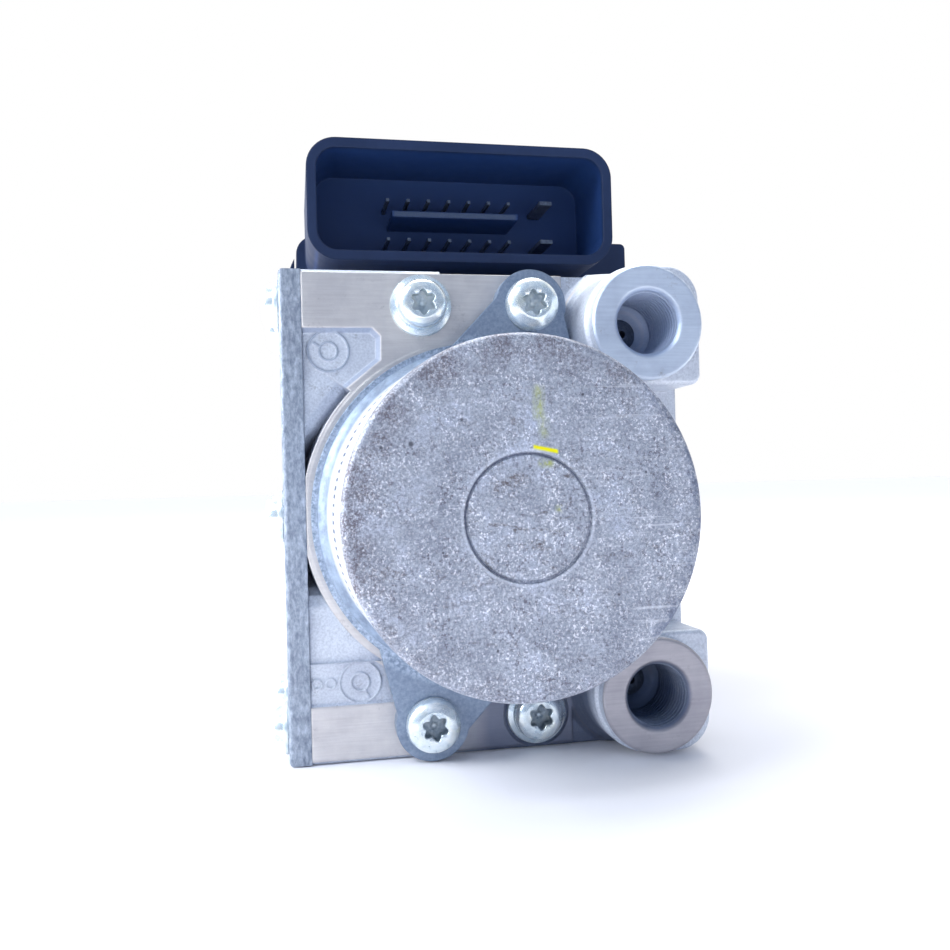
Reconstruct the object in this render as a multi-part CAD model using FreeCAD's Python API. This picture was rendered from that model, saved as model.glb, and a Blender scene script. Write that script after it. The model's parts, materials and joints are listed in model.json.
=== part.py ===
"""Single-channel brake pressure modulator of motorcycle size: valve block, pump motor and control unit.

Millimetres. The shapes are laid out in the block's frame: X right and Y rearwards seen from the motor side,
Z up, X = 0 on the motor axis, Y = 0 on the block's front face, Z = 0 on the block's underside.
The export moves everything so that the origin is the middle of the underside of the bounding box.
"""

import FreeCAD, Part
import math
import os

V = FreeCAD.Vector

# Valve block
BLOCK_LEFT = -30.45
BLOCK_RIGHT = 38.4
BLOCK_DEPTH = 40.0
BLOCK_HEIGHT = 86.0
EDGE_CHAMFER = 0.6

# Unmachined areas on the front face
STEP_X = 16.4
STEP_DEPTH = 0.8
NOTCH_DEPTH = 11.0
PAD_DEPTH = 1.2
NOTCH_TILT = 52.0
STAMP_DEPTH = 0.8

# Motor
MOTOR_Z = 42.93
BOSS_R = 30.6
BOSS_FRONT = -0.1
FLANGE_R = 29.7
FLANGE_FRONT = -3.4
FLANGE_BACK = BOSS_FRONT - 0.03
CAN_R = 27.0
CAN_WALL = 1.8
CAN_FRONT = -35.84
CAN_SHOULDER_R = 1.7
CUP_R = 9.1
SEAM_Y = -9.2

# Screw positions measured from the motor axis
EAR_SCREWS = [(9.75, 36.5), (-9.75, -36.5)]
UNIT_SCREWS = [(-9.63, 36.76), (9.63, -36.76)]
SCREW_R = 2.45
TAPPED_R = 2.5
CLEAR_R = 2.75

# Line ports
PORT_X = 27.67
PORT_Z = [74.75, 10.97]
PORT_FACE_Y = -13.68
PORT_FACE_R = 9.88
PORT_BORE_R = 5.45
PORT_BORE_DEPTH = 13.0
PORT_SINK_R = 6.1
LUG_FRONT = -11.0
LUG_HALF = 10.45

# Steel side plate
PLATE_OUTER = -34.33
PLATE_SCREW_Y = [5.5, 34.5]
PLATE_SCREW_Z = [5.5, 43.0, 80.5]

# Pump
PUMP_Y = 18.0
ECCENTRICITY = 1.0
CAM_RING_R = 8.2
CHAMBER_R = 10.6
CHAMBER_END = 26.0
PISTON_R = 3.0
PISTON_FACE = CAM_RING_R + ECCENTRICITY + 0.05
PUMP_SLEEVE_R = 5.5

# Accumulator and damper bores, closed by the side plate
STORE_Y = 22.0
ACCUMULATOR_Z = 18.0
ACCUMULATOR_R = 8.0
DAMPER_Z = 66.0
DAMPER_R = 7.0
STORE_END = -9.0

# Solenoid valves
VALVE_X = 22.0
INLET_Z = 60.0
OUTLET_Z = 26.0

# Tapped M6 bracket holes in the right face
BRACKET_Y = 8.5
BRACKET_Z = [30.0, 56.0]
BRACKET_DEPTH = 10.0

# Motor terminals through the block
TERMINAL_Z = 28.3

# Control unit
UNIT_LEFT = -30.8
UNIT_RIGHT = 44.1
UNIT_BOTTOM = 2.0
UNIT_SHOULDER = 102.5
UNIT_SPLIT_Y = 68.0
UNIT_REAR = 78.0
UNIT_WALL = 2.4
TOWER_TOP = 113.0
SOCKET_LEFT = -28.8
SOCKET_RIGHT = 32.1
SOCKET_BOTTOM = 91.4
SOCKET_TOP = 114.9
SOCKET_FRONT = 15.0
SOCKET_FLOOR = 33.0
SOCKET_WALL = 1.9
SOCKET_CORNER = 5.8
PIN_PITCH = 4.2
PIN_FIRST_X = -12.4
PIN_COUNT = 7
PIN_ROWS_Z = [98.0, 106.0]
PIN_TIP_Y = 24.0
BOARD_Y = 61.5

# Outermost reach of the side plate screws, with heads 2.97 high
SCREW_REACH = PLATE_OUTER - 2.97

ORIGIN = V((SCREW_REACH + UNIT_RIGHT) / 2, (CAN_FRONT + UNIT_REAR) / 2, 0)


def box(x0, x1, y0, y1, z0, z1):
    return Part.makeBox(x1 - x0, y1 - y0, z1 - z0, V(x0, y0, z0))


def cyl_y(x, z, r, y0, y1):
    return Part.makeCylinder(r, y1 - y0, V(x, y0, z), V(0, 1, 0))


def cyl_x(y, z, r, x0, x1):
    return Part.makeCylinder(r, x1 - x0, V(x0, y, z), V(1, 0, 0))


def cyl_z(x, y, r, z0, z1):
    return Part.makeCylinder(r, z1 - z0, V(x, y, z0), V(0, 0, 1))


def tube_y(x, z, r_out, r_in, y0, y1):
    return cyl_y(x, z, r_out, y0, y1).cut(cyl_y(x, z, r_in, y0 - 1, y1 + 1))


def tube_x(y, z, r_out, r_in, x0, x1):
    return cyl_x(y, z, r_out, x0, x1).cut(cyl_x(y, z, r_in, x0 - 1, x1 + 1))


def cone_y(x, z, r0, r1, y0, y1):
    return Part.makeCone(r0, r1, y1 - y0, V(x, y0, z), V(0, 1, 0))


def fuse_all(shapes):
    return shapes[0].multiFuse(shapes[1:]).removeSplitter() if len(shapes) > 1 else shapes[0]


def lathe_y(profile, x=0.0, z=MOTOR_Z):
    """Turn (radius, y) points about the axis through (x, z) along Y."""
    points = [V(x + r, y, z) for r, y in profile]
    face = Part.Face(Part.makePolygon(points + points[:1]))
    return face.revolve(V(x, 0, z), V(0, 1, 0), 360)


def rounded_slab(x0, x1, z0, z1, corner, y0, y1):
    """A slab in the XZ plane with its four long corners rounded."""
    slab = box(x0, x1, y0, y1, z0, z1)
    return slab.makeFillet(corner, [e for e in slab.Edges if abs(e.tangentAt(e.FirstParameter).y) > 0.99])


def coil_spring(axis_point, direction, radius, wire, length, turns):
    """An open coil spring with its axis along direction, starting at axis_point."""
    helix = Part.makeHelix(length / turns, length, radius)
    corners = [math.radians(45 * k + 10) for k in range(8)]
    section = [V(radius + wire * math.cos(a), 0, wire * math.sin(a)) for a in corners]
    spring = Part.Wire(helix).makePipeShell([Part.makePolygon(section + section[:1])], True, True)
    spring.Placement = FreeCAD.Placement(axis_point, FreeCAD.Rotation(V(0, 0, 1), direction))
    return spring


def star_recess(depth):
    """Six-lobed driver recess of size T25, opening at z = 0 and going down."""
    lobes = [Part.makeCylinder(1.45, depth, V(0, 0, -depth))]
    for k in range(6):
        a = math.radians(60 * k)
        lobes.append(Part.makeCylinder(0.58, depth, V(1.62 * math.cos(a), 1.62 * math.sin(a), -depth)))
    return fuse_all(lobes)


def place(shape, point, direction):
    """Stand a shape built along +Z on a point, with +Z turned to the direction."""
    shape.Placement = FreeCAD.Placement(point, FreeCAD.Rotation(V(0, 0, 1), direction))
    return shape


def screw(head_profile, shank_length, point, direction):
    """A screw with its head along +direction and its seat on the point; the profile is (radius, height)."""
    top = head_profile[-1][1]
    points = [V(r, 0, h) for r, h in head_profile]
    head = Part.Face(Part.makePolygon([V(0, 0, 0)] + points + [V(0, 0, top), V(0, 0, 0)]))
    head = head.revolve(V(0, 0, 0), V(0, 0, 1), 360)
    shank = Part.makeCylinder(SCREW_R, shank_length, V(0, 0, -shank_length))
    recess = star_recess(2.0)
    recess.translate(V(0, 0, top + 0.01))
    return place(head.fuse(shank).removeSplitter().cut(recess), point, direction)


PAN_HEAD = [(4.5, 0), (4.75, 0.35), (4.72, 1.2), (4.4, 2.1), (3.7, 2.75), (2.7, 3.1)]
FLANGE_HEAD = [(5.4, 0), (5.5, 0.4), (5.3, 0.95), (4.45, 1.3), (4.35, 2.6), (4.0, 3.5), (3.3, 4.1), (2.7, 4.25)]
BUTTON_HEAD = [(4.55, 0), (4.65, 0.3), (4.5, 0.8), (3.9, 1.0), (3.75, 1.7), (3.3, 2.6), (2.7, 2.97)]


def lug(z):
    """Square-backed barrel that carries one line port."""
    barrel = cyl_y(PORT_X, z, LUG_HALF, LUG_FRONT, 2.0)
    right = BLOCK_RIGHT - 0.1
    back = box(PORT_X, right, LUG_FRONT, 2.0, z - LUG_HALF, z + LUG_HALF)
    middle = BLOCK_HEIGHT / 2
    for radius, outer in ((6.0, True), (2.0, False)):
        corners = [e for e in back.Edges if abs(e.tangentAt(e.FirstParameter).y) > 0.99
                   and e.CenterOfMass.x > right - 1 and (abs(e.CenterOfMass.z - middle) > abs(z - middle)) == outer
                   and abs(e.CenterOfMass.z - z) > LUG_HALF - 0.01]
        back = back.makeFillet(radius, corners)
    body = barrel.fuse(back).removeSplitter()
    rim = [e for e in body.Edges if abs(e.BoundBox.YMax - LUG_FRONT) < 0.01]
    body = body.makeFillet(0.8, rim)
    foot = [(LUG_HALF - 0.5, -3.2), (LUG_HALF, -3.2), (LUG_HALF + 0.35, -1.6), (LUG_HALF + 1.1, -0.3),
            (LUG_HALF + 2.2, STEP_DEPTH), (LUG_HALF + 2.2, 1.5), (LUG_HALF - 0.5, 1.5)]
    skirt = lathe_y(foot, PORT_X, z).common(box(0, right, -4, 2, 0.05, BLOCK_HEIGHT - 0.05))
    face = cone_y(PORT_X, z, PORT_FACE_R - 0.35, PORT_FACE_R, PORT_FACE_Y, PORT_FACE_Y + 0.35)
    neck = cyl_y(PORT_X, z, PORT_FACE_R, PORT_FACE_Y + 0.35, LUG_FRONT + 1)
    return [body, skirt, face, neck]


def port_cuts(z):
    """Threaded bore, its countersink, the tapered seat and the drilling behind it."""
    end = PORT_FACE_Y + PORT_BORE_DEPTH
    return [
        cyl_y(PORT_X, z, PORT_BORE_R, PORT_FACE_Y - 1, end),
        cone_y(PORT_X, z, PORT_SINK_R + 0.35, PORT_BORE_R - 0.05, PORT_FACE_Y - 0.35, PORT_FACE_Y + 0.7),
        cone_y(PORT_X, z, PORT_BORE_R, 1.5, end - 0.01, end + 2.3),
        cyl_y(PORT_X, z, 1.5, end, 29.0),
    ]


def passages():
    """Cross drillings, as (kind, a, b, start, stop); each is closed at its mouth by a pressed ball."""
    return [
        ("z", 26.0, 27.5, 58.0, BLOCK_HEIGHT),
        ("z", 26.0, 27.5, 0.0, 28.0),
        ("z", 18.0, 34.0, 0.0, 58.0),
        ("x", 21.0, 23.0, -12.0, BLOCK_RIGHT),
        ("z", -14.0, 18.0, 0.0, 40.0),
        ("z", -24.0, 20.0, 46.0, BLOCK_HEIGHT),
        ("x", 21.0, 62.0, -13.0, BLOCK_RIGHT),
        ("z", 33.0, 20.0, 44.0, BLOCK_HEIGHT),
    ]


BALL_R = 2.4


def passage_cut(kind, a, b, start, stop):
    """Drilling of radius 1.5 with a wider seat for the closing ball at its open end."""
    at_top = stop in (BLOCK_HEIGHT, BLOCK_RIGHT)
    seat = (stop - 5.0, stop + 1) if at_top else (start - 1, start + 5.0)
    make = cyl_z if kind == "z" else cyl_x
    return make(a, b, 1.5, start, stop).fuse(make(a, b, BALL_R + 0.05, seat[0], seat[1]))


def passage_ball(kind, a, b, start, stop):
    at_top = stop in (BLOCK_HEIGHT, BLOCK_RIGHT)
    depth = stop - 3.0 if at_top else start + 3.0
    centre = V(a, b, depth) if kind == "z" else V(depth, a, b)
    return Part.makeSphere(BALL_R, centre)


def inset(points, gap):
    """The (x, z) outline, given clockwise from its upper left, moved inwards by the gap."""
    moved = []
    for before, at, after in zip(points[-1:] + points[:-1], points, points[1:] + points[:1]):
        ax, az = at[0] - before[0], at[1] - before[1]
        bx, bz = after[0] - at[0], after[1] - at[1]
        a, b = math.hypot(ax, az), math.hypot(bx, bz)
        nx, nz = az / a + bz / b, -ax / a - bx / b
        reach = 2 * gap / (nx * nx + nz * nz)
        moved.append((at[0] + nx * reach, at[1] + nz * reach))
    return moved


def pocket(points, depth, draft):
    """Shallow cast recess in the front face, narrower by the draft at its floor."""
    wires = []
    for y, gap in ((-1.0, -draft / depth), (depth, draft)):
        outline = [V(x, y, z) for x, z in inset(points, gap)]
        wires.append(Part.makePolygon(outline + outline[:1]))
    return Part.makeLoft(wires, True, True)


def slope(profile, right):
    """Recess along the block's left edge whose floor follows (y, z) points."""
    face = Part.Face(Part.makePolygon([V(BLOCK_LEFT - 1, y, z) for y, z in profile + profile[:1]]))
    return face.extrude(V(right - BLOCK_LEFT + 1, 0, 0))


def fall(profile, x, z, tilt):
    """Recess whose floor follows (depth, distance) points across a line through (x, z), tilted from level."""
    face = Part.Face(Part.makePolygon([V(-12, y, away) for y, away in profile + profile[:1]]))
    solid = face.extrude(V(24, 0, 0))
    solid.rotate(V(0, 0, 0), V(0, 1, 0), -tilt)
    solid.translate(V(x, 0, z))
    return solid


def cast_recesses():
    """Unmachined areas left of the motor seat: stamped pads that fall away into deep notches beside the seat."""
    upper = [(-32.0, 75.85), (-18.3, 75.9), (-16.8, 74.4), (-16.9, 70.1), (-23.3, 64.9), (-25.6, 62.2),
             (-27.5, 59.4), (-32.0, 57.0)]
    roll_off = [(-1, 6), (PAD_DEPTH, 6), (1.3, 4), (1.6, 2), (2.3, 0.6), (3.2, -0.2), (-1, -0.2)]
    upper_notch = [(-1, 0.3), (2.6, 0.3), (4.0, -0.4), (7.0, -1.0), (NOTCH_DEPTH, -1.7), (NOTCH_DEPTH, -9), (-1, -9)]
    lower_fall = [(-1, 37.0), (NOTCH_DEPTH, 37.0), (NOTCH_DEPTH, 32.6), (7.0, 31.4), (4.0, 30.3), (2.3, 29.0),
                  (1.4, 27.0), (1.1, 23.0), (1.1, 17.3), (-1, 17.3)]
    lower = [(-32.0, 17.4), (-15.7, 17.4), (-14.9, 16.6), (-14.9, 10.5), (-15.7, 9.8), (-32.0, 9.8)]
    seat = cyl_y(0, MOTOR_Z, BOSS_R + 1.4, -2, 14)
    notched_seat = cone_y(0, MOTOR_Z, BOSS_R + 0.5, BOSS_R + 1.3, -2, 14)
    pad = cyl_y(EAR_SCREWS[1][0], MOTOR_Z + EAR_SCREWS[1][1], 6.9, -2, 12)
    return [
        pocket(upper, PAD_DEPTH, 0.9),
        fall(roll_off, BLOCK_LEFT, 55.7, NOTCH_TILT).cut(seat),
        fall(upper_notch, BLOCK_LEFT, 55.7, NOTCH_TILT).cut(notched_seat),
        slope(lower_fall, -16.0).cut([notched_seat, pad]),
        pocket(lower, STAMP_DEPTH, 0.5).cut([seat, pad]),
    ]


def insert_mark(x, z, depth_y, pointer):
    """Round cast-in stamp: an outer ring, an inner ring and a short pointer, all standing proud."""
    ring = tube_y(x, z, 3.75, 3.4, depth_y - 0.3, depth_y + 0.2)
    inner = tube_y(x, z, 1.75, 1.4, depth_y - 0.3, depth_y + 0.2)
    bar = box(x - 0.2, x + 0.2, depth_y - 0.3, depth_y + 0.2, z + 1.6, z + 3.0)
    bar.rotate(V(x, 0, z), V(0, 1, 0), pointer)
    return [ring, inner, bar]


def valve_block():
    base = box(BLOCK_LEFT, BLOCK_RIGHT, 0, BLOCK_DEPTH, 0, BLOCK_HEIGHT)
    edges = [e for e in base.Edges if e.CenterOfMass.x > BLOCK_LEFT + 1]
    base = base.makeChamfer(EDGE_CHAMFER, edges)
    base = base.cut(box(STEP_X, BLOCK_RIGHT + 1, -1, STEP_DEPTH, -1, BLOCK_HEIGHT + 1))
    boss = cyl_y(0, MOTOR_Z, BOSS_R, BOSS_FRONT, 1.5).common(box(BLOCK_LEFT, 40, -2, 2, 0, 86))
    body = [base, boss] + lug(PORT_Z[0]) + lug(PORT_Z[1])
    for x, z in EAR_SCREWS:
        body.append(cyl_y(x, MOTOR_Z + z, 6.3, BOSS_FRONT, 1))
    block = fuse_all(body)

    cuts = cast_recesses()
    cuts.append(box(-6.0, 21.5, -1, 9.0, BLOCK_HEIGHT - 0.5, BLOCK_HEIGHT + 1))
    cuts.append(cyl_y(UNIT_SCREWS[1][0], MOTOR_Z + UNIT_SCREWS[1][1], 6.0, -2, 0.5))

    cuts.append(cyl_y(0, MOTOR_Z, 11.05, -2, 7.0))
    cuts.append(cyl_y(0, MOTOR_Z, CHAMBER_R, 6, CHAMBER_END))
    cuts.append(tube_y(0, MOTOR_Z, 24.4, 22.6, -2, BOSS_FRONT + 1.65))
    cuts.append(cyl_y(0, TERMINAL_Z, 2.8, -2, 41))
    for x, z in EAR_SCREWS:
        cuts.append(cyl_y(x, MOTOR_Z + z, TAPPED_R, -2, 12))
    for x, z in UNIT_SCREWS:
        cuts.append(cyl_y(x, MOTOR_Z + z, CLEAR_R, -2, 41))
    for y in PLATE_SCREW_Y:
        for z in PLATE_SCREW_Z:
            cuts.append(cyl_x(y, z, TAPPED_R, BLOCK_LEFT - 1, BLOCK_LEFT + 11))

    cuts.append(cyl_x(PUMP_Y, MOTOR_Z, PUMP_SLEEVE_R + 0.05, BLOCK_LEFT - 1, -CHAMBER_R + 1))
    cuts.append(cyl_x(PUMP_Y, MOTOR_Z, PUMP_SLEEVE_R + 0.05, CHAMBER_R - 1, BLOCK_RIGHT + 1))
    cuts.append(cyl_x(STORE_Y, ACCUMULATOR_Z, ACCUMULATOR_R, BLOCK_LEFT - 1, STORE_END))
    cuts.append(cyl_x(STORE_Y, DAMPER_Z, DAMPER_R, BLOCK_LEFT - 1, STORE_END - 1))
    for z, r in [(ACCUMULATOR_Z, 9.6), (DAMPER_Z, 8.6), (MOTOR_Z, 7.2)]:
        y = PUMP_Y if z == MOTOR_Z else STORE_Y
        cuts.append(tube_x(y, z, r + 0.9, r - 0.9, BLOCK_LEFT - 1, BLOCK_LEFT + 1.3))
    for z in (INLET_Z, OUTLET_Z):
        cuts.append(cyl_y(VALVE_X, z, 5.45, 32.0, 41))
        cuts.append(cyl_y(VALVE_X, z, 4.0, 20.0, 33))
    for z in PORT_Z:
        cuts += port_cuts(z)
    for hole in passages():
        cuts.append(passage_cut(*hole))
    for z in BRACKET_Z:
        cuts.append(cyl_x(BRACKET_Y, z, TAPPED_R, BLOCK_RIGHT - BRACKET_DEPTH, BLOCK_RIGHT + 1))
    cuts.append(cyl_z(0, 20.0, TAPPED_R, -1, 9.0))
    block = block.cut(cuts)

    marks = insert_mark(-26.0, 71.8, PAD_DEPTH, -60) + insert_mark(-21.9, 13.7, STAMP_DEPTH, 150)
    for x in (-29.35, -27.0):
        marks.append(tube_y(x, 13.7, 1.0, 0.65, STAMP_DEPTH - 0.3, STAMP_DEPTH + 0.2))
    return block.fuse(marks).removeSplitter()


def side_plate():
    plate = box(PLATE_OUTER, BLOCK_LEFT - 0.02, 0, BLOCK_DEPTH - 0.2, 0, BLOCK_HEIGHT)
    front = [e for e in plate.Edges if e.CenterOfMass.x < PLATE_OUTER + 0.1]
    plate = plate.makeFillet(0.8, front)
    holes = [cyl_x(y, z, CLEAR_R, PLATE_OUTER - 1, BLOCK_LEFT + 1) for y in PLATE_SCREW_Y for z in PLATE_SCREW_Z]
    return plate.cut(holes)


def side_plate_screws():
    made = []
    for y in PLATE_SCREW_Y:
        for z in PLATE_SCREW_Z:
            point = V(PLATE_OUTER, y, z)
            made.append(screw(BUTTON_HEAD, 13.0, point, V(-1, 0, 0)))
    return Part.makeCompound(made)


def torus_x(y, z, r, wire, x):
    return Part.makeTorus(r, wire, V(x, y, z), V(1, 0, 0))


def side_plate_seals():
    x = BLOCK_LEFT + 0.65
    return Part.makeCompound([
        torus_x(STORE_Y, ACCUMULATOR_Z, 9.6, 0.6, x),
        torus_x(STORE_Y, DAMPER_Z, 8.6, 0.6, x),
        torus_x(PUMP_Y, MOTOR_Z, 7.2, 0.6, x),
    ])


def motor_can():
    """Deep-drawn cup: rounded shoulder, groove round the bearing pocket, rolled bead near the open end."""
    outer = cyl_y(0, MOTOR_Z, CAN_R, CAN_FRONT, FLANGE_FRONT)
    front = [e for e in outer.Edges if abs(e.CenterOfMass.y - CAN_FRONT) < 0.01]
    outer = outer.makeFillet(CAN_SHOULDER_R, front)
    inner = cyl_y(0, MOTOR_Z, CAN_R - CAN_WALL, CAN_FRONT + CAN_WALL, FLANGE_FRONT + 1)
    inner = inner.makeFillet(1.4, [e for e in inner.Edges if abs(e.CenterOfMass.y - CAN_FRONT - CAN_WALL) < 0.01])
    pocket_y = CAN_FRONT + CAN_WALL
    cup = tube_y(0, MOTOR_Z, CUP_R, 8.0, pocket_y - 0.5, pocket_y + 4.6)
    groove = lathe_y([(CUP_R - 0.32, CAN_FRONT - 1), (CUP_R + 0.32, CAN_FRONT - 1), (CUP_R + 0.32, CAN_FRONT + 0.1),
                      (CUP_R, CAN_FRONT + 0.45), (CUP_R - 0.32, CAN_FRONT + 0.1)])
    seam = lathe_y([(CAN_R - 0.3, SEAM_Y), (CAN_R + 1, SEAM_Y - 0.35), (CAN_R + 1, SEAM_Y + 0.35)])
    flare = lathe_y([(CAN_R - 0.5, FLANGE_FRONT), (CAN_R + 1.7, FLANGE_FRONT), (CAN_R + 1.45, FLANGE_FRONT - 0.4),
                     (CAN_R + 0.85, FLANGE_FRONT - 1.2), (CAN_R + 0.35, FLANGE_FRONT - 2.5),
                     (CAN_R - 0.05, FLANGE_FRONT - 4.3), (CAN_R - 0.5, FLANGE_FRONT - 4.3)])
    return outer.cut([inner, groove, seam]).fuse([cup, flare]).removeSplitter()


def ear(x, z):
    """Flange ear: a round pad blended to the flange by straight tangent sides."""
    away = math.degrees(math.atan2(z, x))
    reach = math.hypot(x, z)
    web = Part.Face(Part.makePolygon([V(18, FLANGE_FRONT, MOTOR_Z - 17), V(reach, FLANGE_FRONT, MOTOR_Z - 6.2),
                                      V(reach, FLANGE_FRONT, MOTOR_Z + 6.2), V(18, FLANGE_FRONT, MOTOR_Z + 17),
                                      V(18, FLANGE_FRONT, MOTOR_Z - 17)]))
    web = web.extrude(V(0, FLANGE_BACK - FLANGE_FRONT, 0))
    web.rotate(V(0, 0, MOTOR_Z), V(0, 1, 0), -away)
    return [web, cyl_y(x, MOTOR_Z + z, 6.4, FLANGE_FRONT, FLANGE_BACK)]


def motor_flange():
    plate = [cyl_y(0, MOTOR_Z, FLANGE_R, FLANGE_FRONT, FLANGE_BACK)]
    for x, z in EAR_SCREWS:
        plate += ear(x, z)
    cuts = [cyl_y(x, MOTOR_Z + z, CLEAR_R, -5, 1) for x, z in EAR_SCREWS]
    cuts.append(cyl_y(0, MOTOR_Z, 6.0, -5, 1))
    cuts.append(cyl_y(0, TERMINAL_Z, 3.0, -5, 1))
    for x, z in UNIT_SCREWS:
        cuts.append(cyl_y(x, MOTOR_Z + z, 6.6, -5, 1))
    return fuse_all(plate).cut(cuts)


def motor_screws():
    made = [screw(PAN_HEAD, 13.5, V(x, FLANGE_FRONT, MOTOR_Z + z), V(0, -1, 0)) for x, z in EAR_SCREWS]
    return Part.makeCompound(made)


def unit_screws():
    """Long screws from the motor side, through the block and into the control unit."""
    upper, lower = UNIT_SCREWS
    return Part.makeCompound([
        screw(FLANGE_HEAD, 49.0, V(upper[0], 0, MOTOR_Z + upper[1]), V(0, -1, 0)),
        screw(FLANGE_HEAD, 48.5, V(lower[0], 0.5, MOTOR_Z + lower[1]), V(0, -1, 0)),
    ])


def motor_seal():
    return Part.makeTorus(23.5, 0.75, V(0, BOSS_FRONT + 0.83, MOTOR_Z), V(0, 1, 0))


def magnets():
    """Two ferrite shells either side of the armature."""
    shells = []
    for side in (-1, 1):
        shell = tube_y(0, MOTOR_Z, 24.9, 19.3, -29.0, -12.5)
        keep = Part.Face(Part.makePolygon([V(0, -30, MOTOR_Z), V(side * 20, -30, MOTOR_Z + 40),
                                           V(side * 40, -30, MOTOR_Z + 40), V(side * 40, -30, MOTOR_Z - 40),
                                           V(side * 20, -30, MOTOR_Z - 40), V(0, -30, MOTOR_Z)]))
        shells.append(shell.common(keep.extrude(V(0, 20, 0))))
    return Part.makeCompound(shells)


def ball_bearing(y0, y1, bore, outer):
    """Deep-groove bearing as outer ring, inner ring and balls."""
    middle = (bore + outer) / 2
    ball = (outer - bore) * 0.27
    race = Part.makeTorus(middle, ball + 0.03, V(0, (y0 + y1) / 2, MOTOR_Z), V(0, 1, 0))
    rings = [
        tube_y(0, MOTOR_Z, outer, middle + ball * 0.55, y0, y1).cut(race),
        tube_y(0, MOTOR_Z, middle - ball * 0.55, bore, y0, y1).cut(race),
    ]
    for k in range(8):
        a = math.radians(45 * k)
        centre = V(middle * math.cos(a), (y0 + y1) / 2, MOTOR_Z + middle * math.sin(a))
        rings.append(Part.makeSphere(ball, centre))
    return Part.makeCompound(rings)


def motor_shaft():
    """Stepped shaft with the pump eccentric pointing straight up at rest."""
    journal = cyl_y(0, MOTOR_Z, 2.5, -33.8, -28.0)
    main = cyl_y(0, MOTOR_Z, 4.0, -28.5, 11.0)
    eccentric = cyl_y(0, MOTOR_Z + ECCENTRICITY, 5.2, 11.0, 24.0)
    tip = cyl_y(0, MOTOR_Z, 3.0, 23.5, 25.2)
    return fuse_all([journal, main, eccentric, tip])


def armature_core():
    """Laminated stack with ten wire slots."""
    core = tube_y(0, MOTOR_Z, 18.4, 4.03, -27.0, -15.0)
    cuts = []
    for k in range(10):
        slot = box(8.5, 16.6, -28, -14, MOTOR_Z - 2.1, MOTOR_Z + 2.1).fuse(
            box(16, 19, -28, -14, MOTOR_Z - 0.9, MOTOR_Z + 0.9))
        slot.rotate(V(0, 0, MOTOR_Z), V(0, 1, 0), 36 * k)
        cuts.append(slot)
    return core.cut(cuts)


def armature_windings():
    """Copper in the slots, joined by the two end heads."""
    heads = [tube_y(0, MOTOR_Z, 16.4, 9.4, -28.7, -27.05), tube_y(0, MOTOR_Z, 16.4, 7.9, -14.95, -12.6)]
    for k in range(10):
        bar = box(9.4, 16.0, -28, -13.5, MOTOR_Z - 1.9, MOTOR_Z + 1.9)
        bar.rotate(V(0, 0, MOTOR_Z), V(0, 1, 0), 36 * k)
        heads.append(bar)
    return fuse_all(heads)


def commutator():
    """Copper bars round a moulded hub, split by ten narrow gaps."""
    ring = tube_y(0, MOTOR_Z, 7.5, 4.03, -12.4, -6.8)
    cuts = []
    for k in range(10):
        gap = box(5.8, 8, -12, -6, MOTOR_Z - 0.2, MOTOR_Z + 0.2)
        gap.rotate(V(0, 0, MOTOR_Z), V(0, 1, 0), 36 * k + 18)
        cuts.append(gap)
    return ring.cut(cuts)


def cam_ring():
    """Outer race of the needle bearing on the eccentric, which the pump pistons run on."""
    return tube_y(0, MOTOR_Z + ECCENTRICITY, CAM_RING_R, 7.15, 12.5, 23.2)


def cam_needles():
    made = []
    for k in range(12):
        a = math.radians(30 * k)
        x = 6.17 * math.cos(a)
        z = MOTOR_Z + ECCENTRICITY + 6.17 * math.sin(a)
        made.append(cyl_y(x, z, 0.93, 13.0, 22.7))
    return Part.makeCompound(made)


def brush_plate():
    """Moulded disc with two radial channels that guide the carbon brushes."""
    parts = [cyl_y(0, MOTOR_Z, 24.8, -6.2, -3.8)]
    for side in (-1, 1):
        x0, x1 = sorted((side * 8.6, side * 19.6))
        channel = box(x0, x1, -12.0, -6.0, MOTOR_Z - 3.4, MOTOR_Z + 3.4)
        bore0, bore1 = sorted((side * 8.0, side * 18.4))
        parts.append(channel.cut(box(bore0, bore1, -11.3, -7.4, MOTOR_Z - 2.4, MOTOR_Z + 2.4)))
    plate = fuse_all(parts)
    stem = cyl_y(0, TERMINAL_Z, 2.7, -4.0, 44.0)
    plate = plate.fuse(stem).cut(cyl_y(0, MOTOR_Z, 5.0, -14, 0))
    slots = [box(x - 0.45, x + 0.45, -7, 45, TERMINAL_Z - 1.05, TERMINAL_Z + 1.05) for x in (-1.35, 1.35)]
    return plate.cut(slots).removeSplitter()


def motor_terminals():
    """Brass blades from the brush plate through the block to the circuit board."""
    made = [box(x - 0.4, x + 0.4, -6.6, BOARD_Y + 2.4, TERMINAL_Z - 1.0, TERMINAL_Z + 1.0) for x in (-1.35, 1.35)]
    return Part.makeCompound(made)


def brushes():
    made = []
    for side in (-1, 1):
        x0, x1 = sorted((side * 7.6, side * 13.4))
        made.append(box(x0, x1, -11.25, -7.45, MOTOR_Z - 2.35, MOTOR_Z + 2.35))
    return Part.makeCompound(made)


def brush_springs():
    made = [coil_spring(V(side * 13.65, -9.35, MOTOR_Z), V(side, 0, 0), 1.3, 0.2, 4.5, 4) for side in (-1, 1)]
    return Part.makeCompound(made)


def pump_sleeve():
    """Cylinder liners of both pump pistons."""
    left = tube_x(PUMP_Y, MOTOR_Z, PUMP_SLEEVE_R, PISTON_R + 0.03, -22.6, -11.2)
    right = tube_x(PUMP_Y, MOTOR_Z, PUMP_SLEEVE_R, PISTON_R + 0.03, 11.2, 22.6)
    return Part.makeCompound([left, right])


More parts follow.
